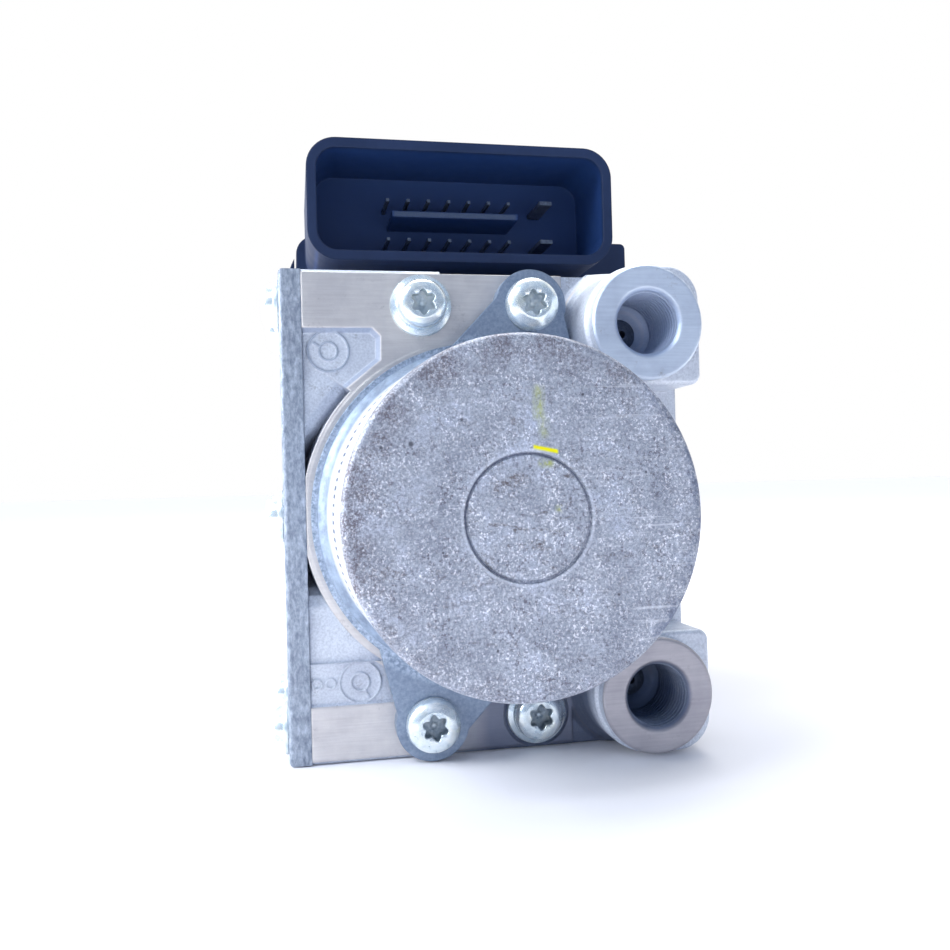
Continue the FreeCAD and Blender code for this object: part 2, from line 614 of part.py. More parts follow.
def pump_piston(side):
    """Plunger with a flat foot on the cam ring and a spring recess behind."""
    x0, x1 = sorted((side * PISTON_FACE, side * 18.6))
    body = cyl_x(PUMP_Y, MOTOR_Z, PISTON_R, x0, x1)
    h0, h1 = sorted((side * 14.4, side * 19.0))
    recess = cyl_x(PUMP_Y, MOTOR_Z, 1.9, h0, h1)
    foot = [e for e in body.Edges if abs(e.CenterOfMass.x - side * PISTON_FACE) < 0.01]
    return body.makeChamfer(0.3, foot).cut(recess)


def pump_spring(side):
    return coil_spring(V(side * 14.75, PUMP_Y, MOTOR_Z), V(side, 0, 0), 1.45, 0.3, 7.6, 5)


def pump_plugs():
    """Pressed plugs that close the pump bores and hold the outlet ball seats."""
    made = []
    for side, outer in ((-1, BLOCK_LEFT + 0.05), (1, 29.6)):
        x0, x1 = sorted((side * 22.7, outer))
        plug = cyl_x(PUMP_Y, MOTOR_Z, PUMP_SLEEVE_R, x0, x1)
        g0, g1 = sorted((side * 25.2, side * 27.2))
        plug = plug.cut(tube_x(PUMP_Y, MOTOR_Z, 7, 4.6, g0, g1))
        made.append(plug)
    return Part.makeCompound(made)


def pump_plug_rings():
    made = [torus_x(PUMP_Y, MOTOR_Z, 5.02, 0.42, side * 26.2) for side in (-1, 1)]
    return Part.makeCompound(made)


def accumulator_piston():
    """Cup piston, at rest against the inner end of its bore."""
    body = cyl_x(STORE_Y, ACCUMULATOR_Z, ACCUMULATOR_R - 0.05, -18.2, STORE_END - 0.3)
    hollow = cyl_x(STORE_Y, ACCUMULATOR_Z, 5.6, -19, -11.6)
    groove = tube_x(STORE_Y, ACCUMULATOR_Z, 9, 6.7, -15.2, -13.0)
    return body.cut([hollow, groove])


def accumulator_ring():
    return torus_x(STORE_Y, ACCUMULATOR_Z, 7.28, 0.55, -14.1)


def accumulator_spring():
    return coil_spring(V(-28.2, STORE_Y, ACCUMULATOR_Z), V(1, 0, 0), 4.4, 0.5, 15.9, 5)


def accumulator_cap():
    """Pressed cap under the side plate that the spring stands on."""
    cap = cyl_x(STORE_Y, ACCUMULATOR_Z, ACCUMULATOR_R - 0.05, BLOCK_LEFT + 0.05, -28.75)
    peg = cyl_x(STORE_Y, ACCUMULATOR_Z, 3.2, -29, -25.5)
    return cap.fuse(peg).removeSplitter()


def damper_body():
    """Pulsation damper: a metal cap holding a bored elastomer slug."""
    cap = cyl_x(STORE_Y, DAMPER_Z, DAMPER_R - 0.05, BLOCK_LEFT + 0.05, -27.6)
    stem = cyl_x(STORE_Y, DAMPER_Z, 2.2, -28, -13.5)
    return cap.fuse(stem).removeSplitter()


def damper_element():
    return tube_x(STORE_Y, DAMPER_Z, 5.6, 2.3, -27.3, -14.0)


def valve_body(z):
    """Seat body in the block with a closed guide tube standing into the control unit."""
    lower = cyl_y(VALVE_X, z, 3.9, 20.6, 32.2)
    collar = cyl_y(VALVE_X, z, 5.35, 32.05, 40.6)
    tube = cyl_y(VALVE_X, z, 3.4, 40, 59.4)
    tube = tube.makeFillet(1.2, [e for e in tube.Edges if abs(e.CenterOfMass.y - 59.4) < 0.01])
    body = fuse_all([lower, collar, tube])
    cross = cyl_z(VALVE_X, 27.0, 0.9, z - 5, z + 5)
    return body.cut([cyl_y(VALVE_X, z, 1.1, 19, 44), cyl_y(VALVE_X, z, 2.9, 42, 58.6), cross])


def valve_plunger(z, front, back):
    """Magnetic armature with its push rod."""
    return cyl_y(VALVE_X, z, 2.84, front, back).fuse(cyl_y(VALVE_X, z, 0.95, 24.0, front + 1)).removeSplitter()


def inlet_plunger():
    return valve_plunger(INLET_Z, 47.0, 58.5)


def outlet_plunger():
    return valve_plunger(OUTLET_Z, 43.1, 54.6)


def inlet_valve_spring():
    return coil_spring(V(VALVE_X, 42.4, INLET_Z), V(0, 1, 0), 1.9, 0.25, 4.2, 4)


def outlet_valve_spring():
    return coil_spring(V(VALVE_X, 54.95, OUTLET_Z), V(0, 1, 0), 1.7, 0.25, 3.3, 4)


def valve_coils():
    """Wound bobbins that slip over the valve guide tubes."""
    made = []
    for z in (INLET_Z, OUTLET_Z):
        winding = tube_y(VALVE_X, z, 8.3, 3.75, 44.3, 55.3)
        flanges = [tube_y(VALVE_X, z, 8.6, 3.75, 43.4, 44.4), tube_y(VALVE_X, z, 8.6, 3.75, 55.2, 56.2)]
        made.append(fuse_all([winding] + flanges))
    return Part.makeCompound(made)


def coil_yokes():
    made = []
    for z in (INLET_Z, OUTLET_Z):
        wall = tube_y(VALVE_X, z, 9.9, 8.9, 42.0, 57.6)
        ends = [tube_y(VALVE_X, z, 9.9, 3.7, 42.0, 43.2), tube_y(VALVE_X, z, 9.9, 3.7, 56.4, 57.6)]
        window = box(VALVE_X - 3.5, VALVE_X + 3.5, 44.0, 55.6, z - 11, z - 6)
        made.append(fuse_all([wall] + ends).cut(window))
    return Part.makeCompound(made)


def coil_pins():
    made = []
    for z in (INLET_Z, OUTLET_Z):
        for x in (VALVE_X - 2.0, VALVE_X + 2.0):
            made.append(box(x - 0.3, x + 0.3, 57.9, BOARD_Y + 2.4, z - 9.2, z - 8.6))
    return Part.makeCompound(made)


def unit_outline(grow, y0, y1):
    """Outer outline of the control unit: a wide body with a raised tower behind the connector."""
    body = rounded_slab(UNIT_LEFT - grow, UNIT_RIGHT + grow, UNIT_BOTTOM - grow, UNIT_SHOULDER + grow,
                        4.0 + grow, y0, y1)
    tower = rounded_slab(-26.5 - grow, 29.8 + grow, 80.0, TOWER_TOP + grow, 3.6 + grow, y0, y1)
    corner = rounded_slab(UNIT_RIGHT + grow - 8, UNIT_RIGHT + grow, UNIT_SHOULDER + grow - 8, UNIT_SHOULDER + grow,
                          max(1.2 + grow, 0.4), y0, y1)
    return body.fuse([tower, corner]).removeSplitter()


def unit_housing():
    """Moulded frame with the connector shroud facing the motor side."""
    shell = unit_outline(0, BLOCK_DEPTH + 0.05, UNIT_SPLIT_Y)
    shroud = rounded_slab(SOCKET_LEFT, SOCKET_RIGHT, SOCKET_BOTTOM, SOCKET_TOP, SOCKET_CORNER,
                          SOCKET_FRONT, BLOCK_DEPTH + 4)
    parts = [shell, shroud]
    hollow = unit_outline(-UNIT_WALL, BLOCK_DEPTH + UNIT_WALL, UNIT_SPLIT_Y + 1)
    socket = rounded_slab(SOCKET_LEFT + SOCKET_WALL, SOCKET_RIGHT - SOCKET_WALL, SOCKET_BOTTOM + SOCKET_WALL,
                          SOCKET_TOP - SOCKET_WALL, SOCKET_CORNER - SOCKET_WALL, SOCKET_FRONT - 1, SOCKET_FLOOR)
    window = rounded_slab(-24.0, 34.0, 14.0, 71.8, 3.0, BLOCK_DEPTH - 1, BLOCK_DEPTH + 4)
    housing = fuse_all(parts).cut([hollow, socket, window])
    seal_slot = rounded_slab(-27.0, 37.0, 10.9, 74.9, 5.0, BLOCK_DEPTH - 1, BLOCK_DEPTH + 1.15)
    seal_slot = seal_slot.cut(rounded_slab(-25.2, 35.2, 12.7, 73.1, 3.8, BLOCK_DEPTH - 2, BLOCK_DEPTH + 3))
    inside = box(UNIT_LEFT, UNIT_RIGHT, BLOCK_DEPTH, 60, UNIT_BOTTOM, UNIT_SHOULDER)
    bosses = [cyl_y(x, MOTOR_Z + z, 6.0, BLOCK_DEPTH + 1, 52.0).common(inside) for x, z in UNIT_SCREWS]
    bar = box(-11.7, 14.2, 22.0, SOCKET_FLOOR + 0.5, 102.0, 103.2)
    posts = [cyl_y(x, z, 2.0, BLOCK_DEPTH + 2, BOARD_Y - 0.1) for x, z in [(-25, 8), (38, 8), (-25, 96), (38, 96)]]
    housing = housing.fuse(bosses + [bar] + posts).cut(seal_slot)
    cuts = [cyl_y(x, MOTOR_Z + z, 4.1, BLOCK_DEPTH - 1, 50.0) for x, z in UNIT_SCREWS]
    for k in range(PIN_COUNT):
        for z in PIN_ROWS_Z:
            x = PIN_FIRST_X + k * PIN_PITCH
            cuts.append(box(x - 0.4, x + 0.4, SOCKET_FLOOR - 1, BLOCK_DEPTH + 6, z - 0.4, z + 0.4))
    for z in PIN_ROWS_Z:
        cuts.append(box(19.1, 21.9, SOCKET_FLOOR - 1, BLOCK_DEPTH + 6, z - 0.5, z + 0.5))
    return housing.cut(cuts).removeSplitter()


def connector_pins():
    made = []
    for k in range(PIN_COUNT):
        for z in PIN_ROWS_Z:
            x = PIN_FIRST_X + k * PIN_PITCH
            made.append(box(x - 0.32, x + 0.32, PIN_TIP_Y, BOARD_Y + 2.2, z - 0.32, z + 0.32))
    return Part.makeCompound(made)


def power_blades():
    made = [box(19.2, 21.8, PIN_TIP_Y - 1, BOARD_Y + 2.2, z - 0.4, z + 0.4) for z in PIN_ROWS_Z]
    return Part.makeCompound(made)


def board_holes():
    """Clearance for every pin that stands through the circuit board."""
    cuts = [box(18.9, 22.1, BOARD_Y - 1, BOARD_Y + 3, z - 0.7, z + 0.7) for z in PIN_ROWS_Z]
    for k in range(PIN_COUNT):
        cuts += [cyl_y(PIN_FIRST_X + k * PIN_PITCH, z, 0.6, BOARD_Y - 1, BOARD_Y + 3) for z in PIN_ROWS_Z]
    for z in (INLET_Z, OUTLET_Z):
        cuts += [cyl_y(VALVE_X + s * 2.0, z - 8.9, 0.6, BOARD_Y - 1, BOARD_Y + 3) for s in (-1, 1)]
    cuts.append(box(-2.1, 2.1, BOARD_Y - 1, BOARD_Y + 3, TERMINAL_Z - 1.3, TERMINAL_Z + 1.3))
    return cuts


def circuit_board():
    board = rounded_slab(-27.6, 41.0, 5.0, 99.5, 2.0, BOARD_Y, BOARD_Y + 1.6)
    tongue = box(-23.0, 26.0, BOARD_Y, BOARD_Y + 1.6, 99.0, 109.6)
    return board.fuse(tongue).removeSplitter().cut(board_holes())


def board_components():
    """Processor, driver chips, relay, inductor and the standing capacitors."""
    back = BOARD_Y + 1.65
    made = [
        box(-12, 4, back, back + 1.5, 60, 76),
        box(-22, -12, back, back + 2.2, 34, 44),
        box(-22, -12, back, back + 2.2, 20, 30),
        box(8, 15, back, back + 1.8, 38, 50),
        box(26, 36, back, back + 5.0, 70, 84),
        box(-24, -14, back, back + 4.5, 80, 90),
        cyl_y(34, 40, 4.0, back, back + 7.5),
        cyl_y(34, 52, 4.0, back, back + 7.5),
        cyl_y(34, 14, 5.0, back, back + 7.5),
    ]
    for k in range(8):
        made.append(box(-8 + 4 * k, -6 + 4 * k, back, back + 0.8, 84, 85.2))
    return Part.makeCompound(made)


def unit_cover():
    """Rear lid with a stepped rim and shallow stiffening ribs."""
    lid = unit_outline(0, UNIT_SPLIT_Y + 0.9, UNIT_REAR - 1.2)
    hollow = unit_outline(-UNIT_WALL, UNIT_SPLIT_Y, UNIT_REAR - 3.6)
    parts = [lid]
    for k in range(6):
        x = -20.0 + 10.5 * k
        parts.append(box(x, x + 2.4, UNIT_REAR - 1.5, UNIT_REAR, 12.0, 92.0))
    return fuse_all(parts).cut(hollow)


def cover_seal():
    """Gasket between the housing frame and the lid."""
    return unit_outline(-0.7, UNIT_SPLIT_Y + 0.03, UNIT_SPLIT_Y + 0.87).cut(
        unit_outline(-1.9, UNIT_SPLIT_Y - 1, UNIT_SPLIT_Y + 2))


def housing_seal():
    seal = rounded_slab(-26.9, 36.9, 11.0, 74.8, 4.9, BLOCK_DEPTH + 0.03, BLOCK_DEPTH + 1.1)
    return seal.cut(rounded_slab(-25.3, 35.3, 12.6, 73.2, 3.9, BLOCK_DEPTH - 2, BLOCK_DEPTH + 3))


def unit_inserts():
    """Brass bushes in the housing that take the long screws."""
    made = [tube_y(x, MOTOR_Z + z, 4.05, TAPPED_R, BLOCK_DEPTH + 0.1, 49.9) for x, z in UNIT_SCREWS]
    return Part.makeCompound(made)


def cover_clip():
    """Curved spring clip over the control unit's left shoulder."""
    ring = tube_y(-15.0, 90.0, 18.3, 16.9, 44.0, 56.0)
    arc = ring.common(box(-34.2, -31.2, 43, 57, 84.0, 104.5))
    leg = box(-33.3, -31.9, 44.0, 56.0, 60.0, 90.0)
    hook = box(-33.3, UNIT_LEFT - 0.05, 44.0, 56.0, 60.0, 61.4)
    return fuse_all([arc, leg, hook])


def port_seats():
    """Pressed conical seats at the bottom of the line ports."""
    end = PORT_FACE_Y + PORT_BORE_DEPTH
    made = []
    for z in PORT_Z:
        seat = lathe_y([(0.7, end + 0.1), (1.1, end + 0.15), (1.9, end + 0.5), (2.9, end + 1.3), (1.35, end + 2.2),
                        (1.35, end + 4.0), (0.7, end + 4.0)], PORT_X, z)
        made.append(seat)
    return Part.makeCompound(made)


PARTS = {
    "valve_block": valve_block,
    "side_plate": side_plate,
    "side_plate_screws": side_plate_screws,
    "side_plate_seals": side_plate_seals,
    "passage_balls": lambda: Part.makeCompound([passage_ball(*hole) for hole in passages()]),
    "port_seats": port_seats,
    "motor_can": motor_can,
    "motor_flange": motor_flange,
    "motor_screws": motor_screws,
    "motor_seal": motor_seal,
    "magnets": magnets,
    "front_bearing": lambda: ball_bearing(-33.9, -29.6, 2.55, 7.95),
    "drive_bearing": lambda: ball_bearing(0.1, 6.9, 4.05, 11.0),
    "motor_shaft": motor_shaft,
    "armature_core": armature_core,
    "armature_windings": armature_windings,
    "commutator": commutator,
    "cam_ring": cam_ring,
    "cam_needles": cam_needles,
    "brush_plate": brush_plate,
    "motor_terminals": motor_terminals,
    "brushes": brushes,
    "brush_springs": brush_springs,
    "pump_sleeves": pump_sleeve,
    "pump_piston_left": lambda: pump_piston(-1),
    "pump_piston_right": lambda: pump_piston(1),
    "pump_spring_left": lambda: pump_spring(-1),
    "pump_spring_right": lambda: pump_spring(1),
    "pump_plugs": pump_plugs,
    "pump_plug_rings": pump_plug_rings,
    "accumulator_piston": accumulator_piston,
    "accumulator_ring": accumulator_ring,
    "accumulator_spring": accumulator_spring,
    "accumulator_cap": accumulator_cap,
    "damper_cap": damper_body,
    "damper_element": damper_element,
    "inlet_valve_body": lambda: valve_body(INLET_Z),
    "outlet_valve_body": lambda: valve_body(OUTLET_Z),
    "inlet_plunger": inlet_plunger,
    "outlet_plunger": outlet_plunger,
    "inlet_valve_spring": inlet_valve_spring,
    "outlet_valve_spring": outlet_valve_spring,
    "valve_coils": valve_coils,
    "coil_yokes": coil_yokes,
    "coil_pins": coil_pins,
    "unit_housing": unit_housing,
    "unit_cover": unit_cover,
    "cover_seal": cover_seal,
    "housing_seal": housing_seal,
    "unit_screws": unit_screws,
    "unit_inserts": unit_inserts,
    "cover_clip": cover_clip,
    "connector_pins": connector_pins,
    "power_blades": power_blades,
    "circuit_board": circuit_board,
    "board_components": board_components,
}

os.makedirs("parts", exist_ok=True)
for name, make in PARTS.items():
    shape = make()
    shape.translate(-ORIGIN)
    shape.exportStep("parts/" + name + ".step")
    bounds = shape.BoundBox
    print(name, len(shape.Solids), "valid" if shape.isValid() else "INVALID", round(shape.Volume),
          [round(v, 2) for v in (bounds.XMin, bounds.YMin, bounds.ZMin, bounds.XMax, bounds.YMax, bounds.ZMax)])
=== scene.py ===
"""Looks of the motor-driven valve block: a finish for every CAD node and finer surfaces for what shows most.

Lengths in the shapes and finishes are millimetres of the block's frame: X = 0 and Z = AXIS_Z on the motor
axis, Y = 0 on the block's front face, Z = 0 on its underside. in_place() gives metres of the row frame.
"""

import json
import math

import bpy
import numpy as np
from mathutils import Matrix, Vector


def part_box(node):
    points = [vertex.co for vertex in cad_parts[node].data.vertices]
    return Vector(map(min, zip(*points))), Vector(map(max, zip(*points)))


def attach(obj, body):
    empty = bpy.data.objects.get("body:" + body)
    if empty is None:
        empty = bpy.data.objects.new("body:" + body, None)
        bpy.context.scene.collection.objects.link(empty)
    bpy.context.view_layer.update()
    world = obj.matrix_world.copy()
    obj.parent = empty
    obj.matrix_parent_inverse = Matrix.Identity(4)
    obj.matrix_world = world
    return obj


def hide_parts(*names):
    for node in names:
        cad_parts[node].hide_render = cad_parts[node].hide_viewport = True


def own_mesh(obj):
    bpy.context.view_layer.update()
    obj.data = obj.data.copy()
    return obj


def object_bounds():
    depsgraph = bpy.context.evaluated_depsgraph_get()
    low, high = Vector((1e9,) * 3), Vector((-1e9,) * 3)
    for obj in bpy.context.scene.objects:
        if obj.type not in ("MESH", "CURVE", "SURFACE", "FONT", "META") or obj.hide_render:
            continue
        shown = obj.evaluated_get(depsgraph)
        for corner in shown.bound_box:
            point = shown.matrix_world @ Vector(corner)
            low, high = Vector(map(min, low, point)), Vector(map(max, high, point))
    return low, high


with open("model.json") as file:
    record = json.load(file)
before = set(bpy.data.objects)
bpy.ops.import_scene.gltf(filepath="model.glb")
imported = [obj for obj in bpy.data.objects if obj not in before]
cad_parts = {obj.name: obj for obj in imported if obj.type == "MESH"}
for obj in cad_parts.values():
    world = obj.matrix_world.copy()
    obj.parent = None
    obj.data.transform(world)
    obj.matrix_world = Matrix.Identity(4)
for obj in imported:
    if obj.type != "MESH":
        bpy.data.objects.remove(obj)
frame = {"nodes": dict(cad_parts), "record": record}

cad_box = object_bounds()
NODES = frame["nodes"]

# The block's frame inside the row frame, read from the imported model.
can_low, can_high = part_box("motor_can")
plate_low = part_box("side_plate")[0]
AXIS_X = (can_low.x + can_high.x) / 2 * 1000
AXIS_Z = (can_low.z + can_high.z) / 2 * 1000
FACE_Y = plate_low.y * 1000
CAN_FRONT = can_low.y * 1000 - FACE_Y
CAN_BACK = can_high.y * 1000 - FACE_Y

# Motor can: a cup that narrows towards its front and flares out at its open end.
FLARE = 1.7
CAN_BODY_R = (can_high.x - can_low.x) * 500 - FLARE
CAN_FRONT_R = CAN_BODY_R - 0.62
CAN_WALL = 1.8
SHOULDER = 1.2
GROOVE_R = 9.1
DASH_ROW_Y = -21.0
DASHES = 128
FLANGE_FRONT = -3.4

# Line ports, one above the other in the lugs on the right.
PORT_X = 27.67
PORT_Z = (74.75, 10.97)
PORT_BORE_R = 5.43
PORT_FACE_Y = -13.3

# Socket of the control unit and its locating rib.
SOCKET_X = (-27.3, 30.6)
SOCKET_Y = (15.1, 34.5)
SOCKET_Z = (92.85, 113.5)
RIB_X, RIB_Z = 1.2, 102.6


def in_place(points):
    """Millimetres of the block's frame to metres of the row frame."""
    return (np.asarray(points, float) + np.array([AXIS_X, FACE_Y, 0.0])) / 1000


# ---------------------------------------------------------------- surfaces


def grid_faces(rows, columns, wrap_rows, wrap_columns):
    """Quads of a rows by columns grid, closed round either way where asked."""
    i = np.arange(rows if wrap_rows else rows - 1)
    j = np.arange(columns if wrap_columns else columns - 1)
    i, j = np.meshgrid(i, j, indexing="ij")
    i2, j2 = (i + 1) % rows, (j + 1) % columns
    corners = [i * columns + j, i * columns + j2, i2 * columns + j2, i2 * columns + j]
    return np.stack(corners, -1).reshape(-1, 4)


def mesh_piece(name, parts, finish, body="unit", sharp=40.0):
    """One object from parts in the block's millimetres: points, faces and perhaps the painted shade at each
    point.
    """
    points, faces, painted_shade, start = [], [], [], 0
    for p, f, *darkening in parts:
        points.append(in_place(p.reshape(-1, 3)))
        faces.append(f + start)
        painted_shade.append(darkening[0].ravel() if darkening else np.zeros(p.size // 3))
        start += p.size // 3
    points = np.vstack(points)
    faces = np.vstack(faces)
    mesh = bpy.data.meshes.new(name)
    mesh.vertices.add(len(points))
    mesh.vertices.foreach_set("co", points.astype(np.float32).ravel())
    mesh.loops.add(faces.size)
    mesh.loops.foreach_set("vertex_index", faces.astype(np.int32).ravel())
    mesh.polygons.add(len(faces))
    mesh.polygons.foreach_set("loop_start", np.arange(0, faces.size, 4, dtype=np.int32))
    mesh.update(calc_edges=True)
    shade_mask = mesh.attributes.new("painted_shade", "FLOAT", "POINT")
    shade_mask.data.foreach_set("value", np.concatenate(painted_shade).astype(np.float32))
    merge_doubles(mesh)
    mesh.polygons.foreach_set("use_smooth", np.ones(len(mesh.polygons), bool))
    mesh.set_sharp_from_angle(angle=math.radians(sharp))
    mesh.materials.append(finish)
    piece = bpy.data.objects.new(name, mesh)
    bpy.context.scene.collection.objects.link(piece)
    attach(piece, body)
    return piece


def merge_doubles(mesh):
    """Join the points that meet at seams and poles, and turn all faces outwards."""
    import bmesh
    bm = bmesh.new()
    bm.from_mesh(mesh)
    bmesh.ops.remove_doubles(bm, verts=bm.verts, dist=1e-7)
    bmesh.ops.dissolve_degenerate(bm, edges=bm.edges, dist=1e-8)
    bmesh.ops.recalc_face_normals(bm, faces=bm.faces)
    bm.to_mesh(mesh)
    bm.free()


def smooth_profile(points, step):
    """Points spaced about step apart along the straight runs of a profile."""
    points = np.asarray(points, float)
    made = [points[:1]]
    for a, b in zip(points[:-1], points[1:]):
        count = max(1, int(round(np.linalg.norm(b - a) / step)))
        t = np.arange(1, count + 1)[:, None] / count
        made.append(a + (b - a) * t)
    return np.vstack(made)


def arc(centre_r, centre_h, radius, start, stop, count):
    """Profile arc: (centre_r + radius cos a, centre_h + radius sin a), a in degrees from start to stop."""
    a = np.radians(np.linspace(start, stop, count))
    return np.stack([centre_r + radius * np.cos(a), centre_h + radius * np.sin(a)], -1)


def turned(profile, around, centre, direction, wobble=None):
    """Lathe: profile point (r, h) at angle a stands at centre + h direction + r (u cos a + v sin a)."""
    d = Vector(direction).normalized()
    u = d.orthogonal().normalized()
    v = d.cross(u)
    d, u, v = (np.array(w) for w in (d, u, v))
    a = np.linspace(0, 2 * math.pi, around, endpoint=False)[None, :, None]
    r = profile[:, 0][:, None, None]
    h = profile[:, 1][:, None, None]
    if wobble is not None:
        dr, dh = wobble(profile, a[0, :, 0])
        r, h = r + dr[:, :, None], h + dh[:, :, None]
    points = np.asarray(centre, float) + h * d + r * (np.cos(a) * u + np.sin(a) * v)
    return points, grid_faces(len(profile), around, False, True)


LOBE_R, LOBE_DEPTH, RECESS_RIM_R = 1.93, 0.32, 2.62
RECESS_DEPTH = 2.0
SHANK_R = 2.45
SCREW_AROUND = 96


def star_screw(head, shank, centre, direction, turn=0.0):
    """Lathe of a screw with a six-lobed recess, r(a) = LOBE_R + LOBE_DEPTH cos 6a, blended out at the rim."""
    top = head[-1][1]
    floor = top - RECESS_DEPTH
    recess = [(0.0, floor - 0.5, 0.0), (0.9, floor, 1.0), (LOBE_R, floor, 1.0), (LOBE_R, top - 0.25, 1.0),
              (2.02, top - 0.1, 0.95), (2.15, top - 0.02, 0.8), (RECESS_RIM_R, top, 0.0)]
    outside = [(r, h, 0.0) for r, h in head[::-1]]
    foot = [(SHANK_R, 0.0, 0.0), (SHANK_R, -shank, 0.0), (0.0, -shank, 0.0)]
    rows = np.array(recess + outside + foot, float)
    fine = [rows[:1]]
    for p, q in zip(rows[:-1], rows[1:]):
        count = min(max(1, int(np.linalg.norm(q[:2] - p[:2]) / 0.35)), 6)
        t = np.arange(1, count + 1)[:, None] / count
        fine.append(p + (q - p) * t)
    rows = np.vstack(fine)
    weight = rows[:, 2]

    def lobes(profile, a):
        r = profile[:, 0:1]
        depth = np.where(r > 0.5, LOBE_DEPTH, 0.0) * weight[:, None] * np.clip(r / LOBE_R, 0, 1)
        dr = depth * np.cos(6 * a + turn)[None, :]
        return dr, np.zeros_like(dr)

    points, faces = turned(rows[:, :2], SCREW_AROUND, centre, direction, lobes)
    # Painted shade: dark in the recess and at the foot of the head, where it meets the surface below.
    inside = np.clip((top - 0.05 - rows[:, 1]) / 0.5, 0, 1) * (weight > 0)
    seat = np.clip((0.9 - rows[:, 1]) / 0.5, 0, 1) * (rows[:, 1] > 0.05) * 0.35
    painted_shade = np.repeat(np.maximum(inside, seat)[:, None], SCREW_AROUND, axis=1)
    return points, faces, painted_shade


# ---------------------------------------------------------------- finishes


class Finish:
    """A node-built material on Object coordinates, in millimetres of the block's frame."""

    def __init__(self, name, metallic, roughness, colour=(0.5, 0.5, 0.5)):
        self.material = bpy.data.materials.new(name)
        self.material.use_nodes = True
        self.tree = self.material.node_tree
        self.shader = self.tree.nodes["Principled BSDF"]
        self.shader.inputs["Metallic"].default_value = metallic
        self.shader.inputs["Roughness"].default_value = roughness
        self.shader.inputs["Base Color"].default_value = (*colour, 1)
        coordinates = self.tree.nodes.new("ShaderNodeTexCoord")
        mapping = self.tree.nodes.new("ShaderNodeMapping")
        mapping.inputs["Location"].default_value = (-AXIS_X, -FACE_Y, 0)
        mapping.inputs["Scale"].default_value = (1000, 1000, 1000)
        self.link(coordinates.outputs["Object"], mapping.inputs["Vector"])
        self.place = mapping.outputs["Vector"]

    def link(self, out, into):
        self.tree.links.new(out, into)

    def node(self, kind, **values):
        made = self.tree.nodes.new(kind)
        for key, value in values.items():
            setattr(made, key, value)
        return made

    def put(self, socket, value):
        if isinstance(value, bpy.types.NodeSocket):
            self.link(value, socket)
        else:
            socket.default_value = value

    def math(self, operation, a, b=0.0, c=0.0, clamp=False):
        made = self.node("ShaderNodeMath", operation=operation, use_clamp=clamp)
        for socket, value in zip(made.inputs, (a, b, c)):
            self.put(socket, value)
        return made.outputs[0]

    def times(self, first, *others):
        """Product of masks and numbers."""
        for other in others:
            first = self.math("MULTIPLY", first, other)
        return first

    def gap(self, a, b):
        """How far a is from b."""
        return self.math("ABSOLUTE", self.math("SUBTRACT", a, b))

    def noise(self, size, detail=4.0, roughness=0.55, stretch=None, shift=0.0, distortion=0.0):
        """Noise whose features are about size millimetres across."""
        vector = self.place
        if stretch or shift:
            moved = self.node("ShaderNodeMapping")
            moved.inputs["Scale"].default_value = stretch or (1, 1, 1)
            moved.inputs["Location"].default_value = (shift, shift * 0.7, shift * 1.3)
            self.link(vector, moved.inputs["Vector"])
            vector = moved.outputs["Vector"]
        made = self.node("ShaderNodeTexNoise")
        self.link(vector, made.inputs["Vector"])
        made.inputs["Scale"].default_value = 1.0 / size
        made.inputs["Detail"].default_value = detail
        made.inputs["Roughness"].default_value = roughness
        made.inputs["Distortion"].default_value = distortion
        return made.outputs["Fac"]

    def ramp(self, factor, stops, ease="LINEAR"):
        made = self.node("ShaderNodeValToRGB")
        made.color_ramp.interpolation = ease
        elements = made.color_ramp.elements
        while len(elements) < len(stops):
            elements.new(0.5)
        for element, (position, colour) in zip(elements, stops):
            element.position = position
            element.color = (*colour, 1) if len(colour) == 3 else colour
        self.link(factor, made.inputs["Fac"])
        return made.outputs["Color"]

    def band(self, factor, low, high, start=0.0, stop=1.0):
        """factor mapped from low..high to start..stop, held at both ends."""
        made = self.node("ShaderNodeMapRange", clamp=True)
        for socket, value in zip(made.inputs, (factor, low, high, start, stop)):
            self.put(socket, value)
        return made.outputs[0]

    def mix(self, factor, a, b, blend="MIX"):
        made = self.node("ShaderNodeMix", data_type="RGBA", blend_type=blend)
        self.put(made.inputs[0], factor)
        for socket, value in ((made.inputs[6], a), (made.inputs[7], b)):
            if isinstance(value, tuple) and len(value) == 3:
                value = (*value, 1)
            self.put(socket, value)
        return made.outputs[2]

    def axes(self):
        split = self.node("ShaderNodeSeparateXYZ")
        self.link(self.place, split.inputs[0])
        return split.outputs

    def distance(self, x, z):
        """Distance from the line along Y through (x, z)."""
        px, _, pz = self.axes()
        dx = self.math("SUBTRACT", px, x)
        dz = self.math("SUBTRACT", pz, z)
        return self.math("SQRT", self.math("ADD", self.times(dx, dx), self.times(dz, dz)))

    def soft_edges(self, radius):
        """Normals that run round the edges as if they were broken to that radius in millimetres."""
        made = self.node("ShaderNodeBevel", samples=6)
        made.inputs["Radius"].default_value = radius / 1000
        return made.outputs["Normal"]

    def bump(self, height, strength, depth, below=None):
        """Bump of the given depth in millimetres."""
        made = self.node("ShaderNodeBump")
        made.inputs["Strength"].default_value = strength
        made.inputs["Distance"].default_value = depth / 1000
        self.link(height, made.inputs["Height"])
        if below is not None:
            self.link(below, made.inputs["Normal"])
        return made.outputs["Normal"]

    def finish(self, colour, roughness, normal):
        for key, value in (("Base Color", colour), ("Roughness", roughness), ("Normal", normal)):
            self.put(self.shader.inputs[key], value)
        return self.material


# Small pits in the front of the can: X, Z and radius.
PITS = ((-16.5, 53.65, 0.5), (-20.6, 53.2, 0.32), (-9.3, 56.9, 0.32), (13.0, 31.5, 0.28), (-5.0, 24.5, 0.26),
        (-12.4, 38.5, 0.24), (8.4, 60.3, 0.26), (17.6, 49.0, 0.24))


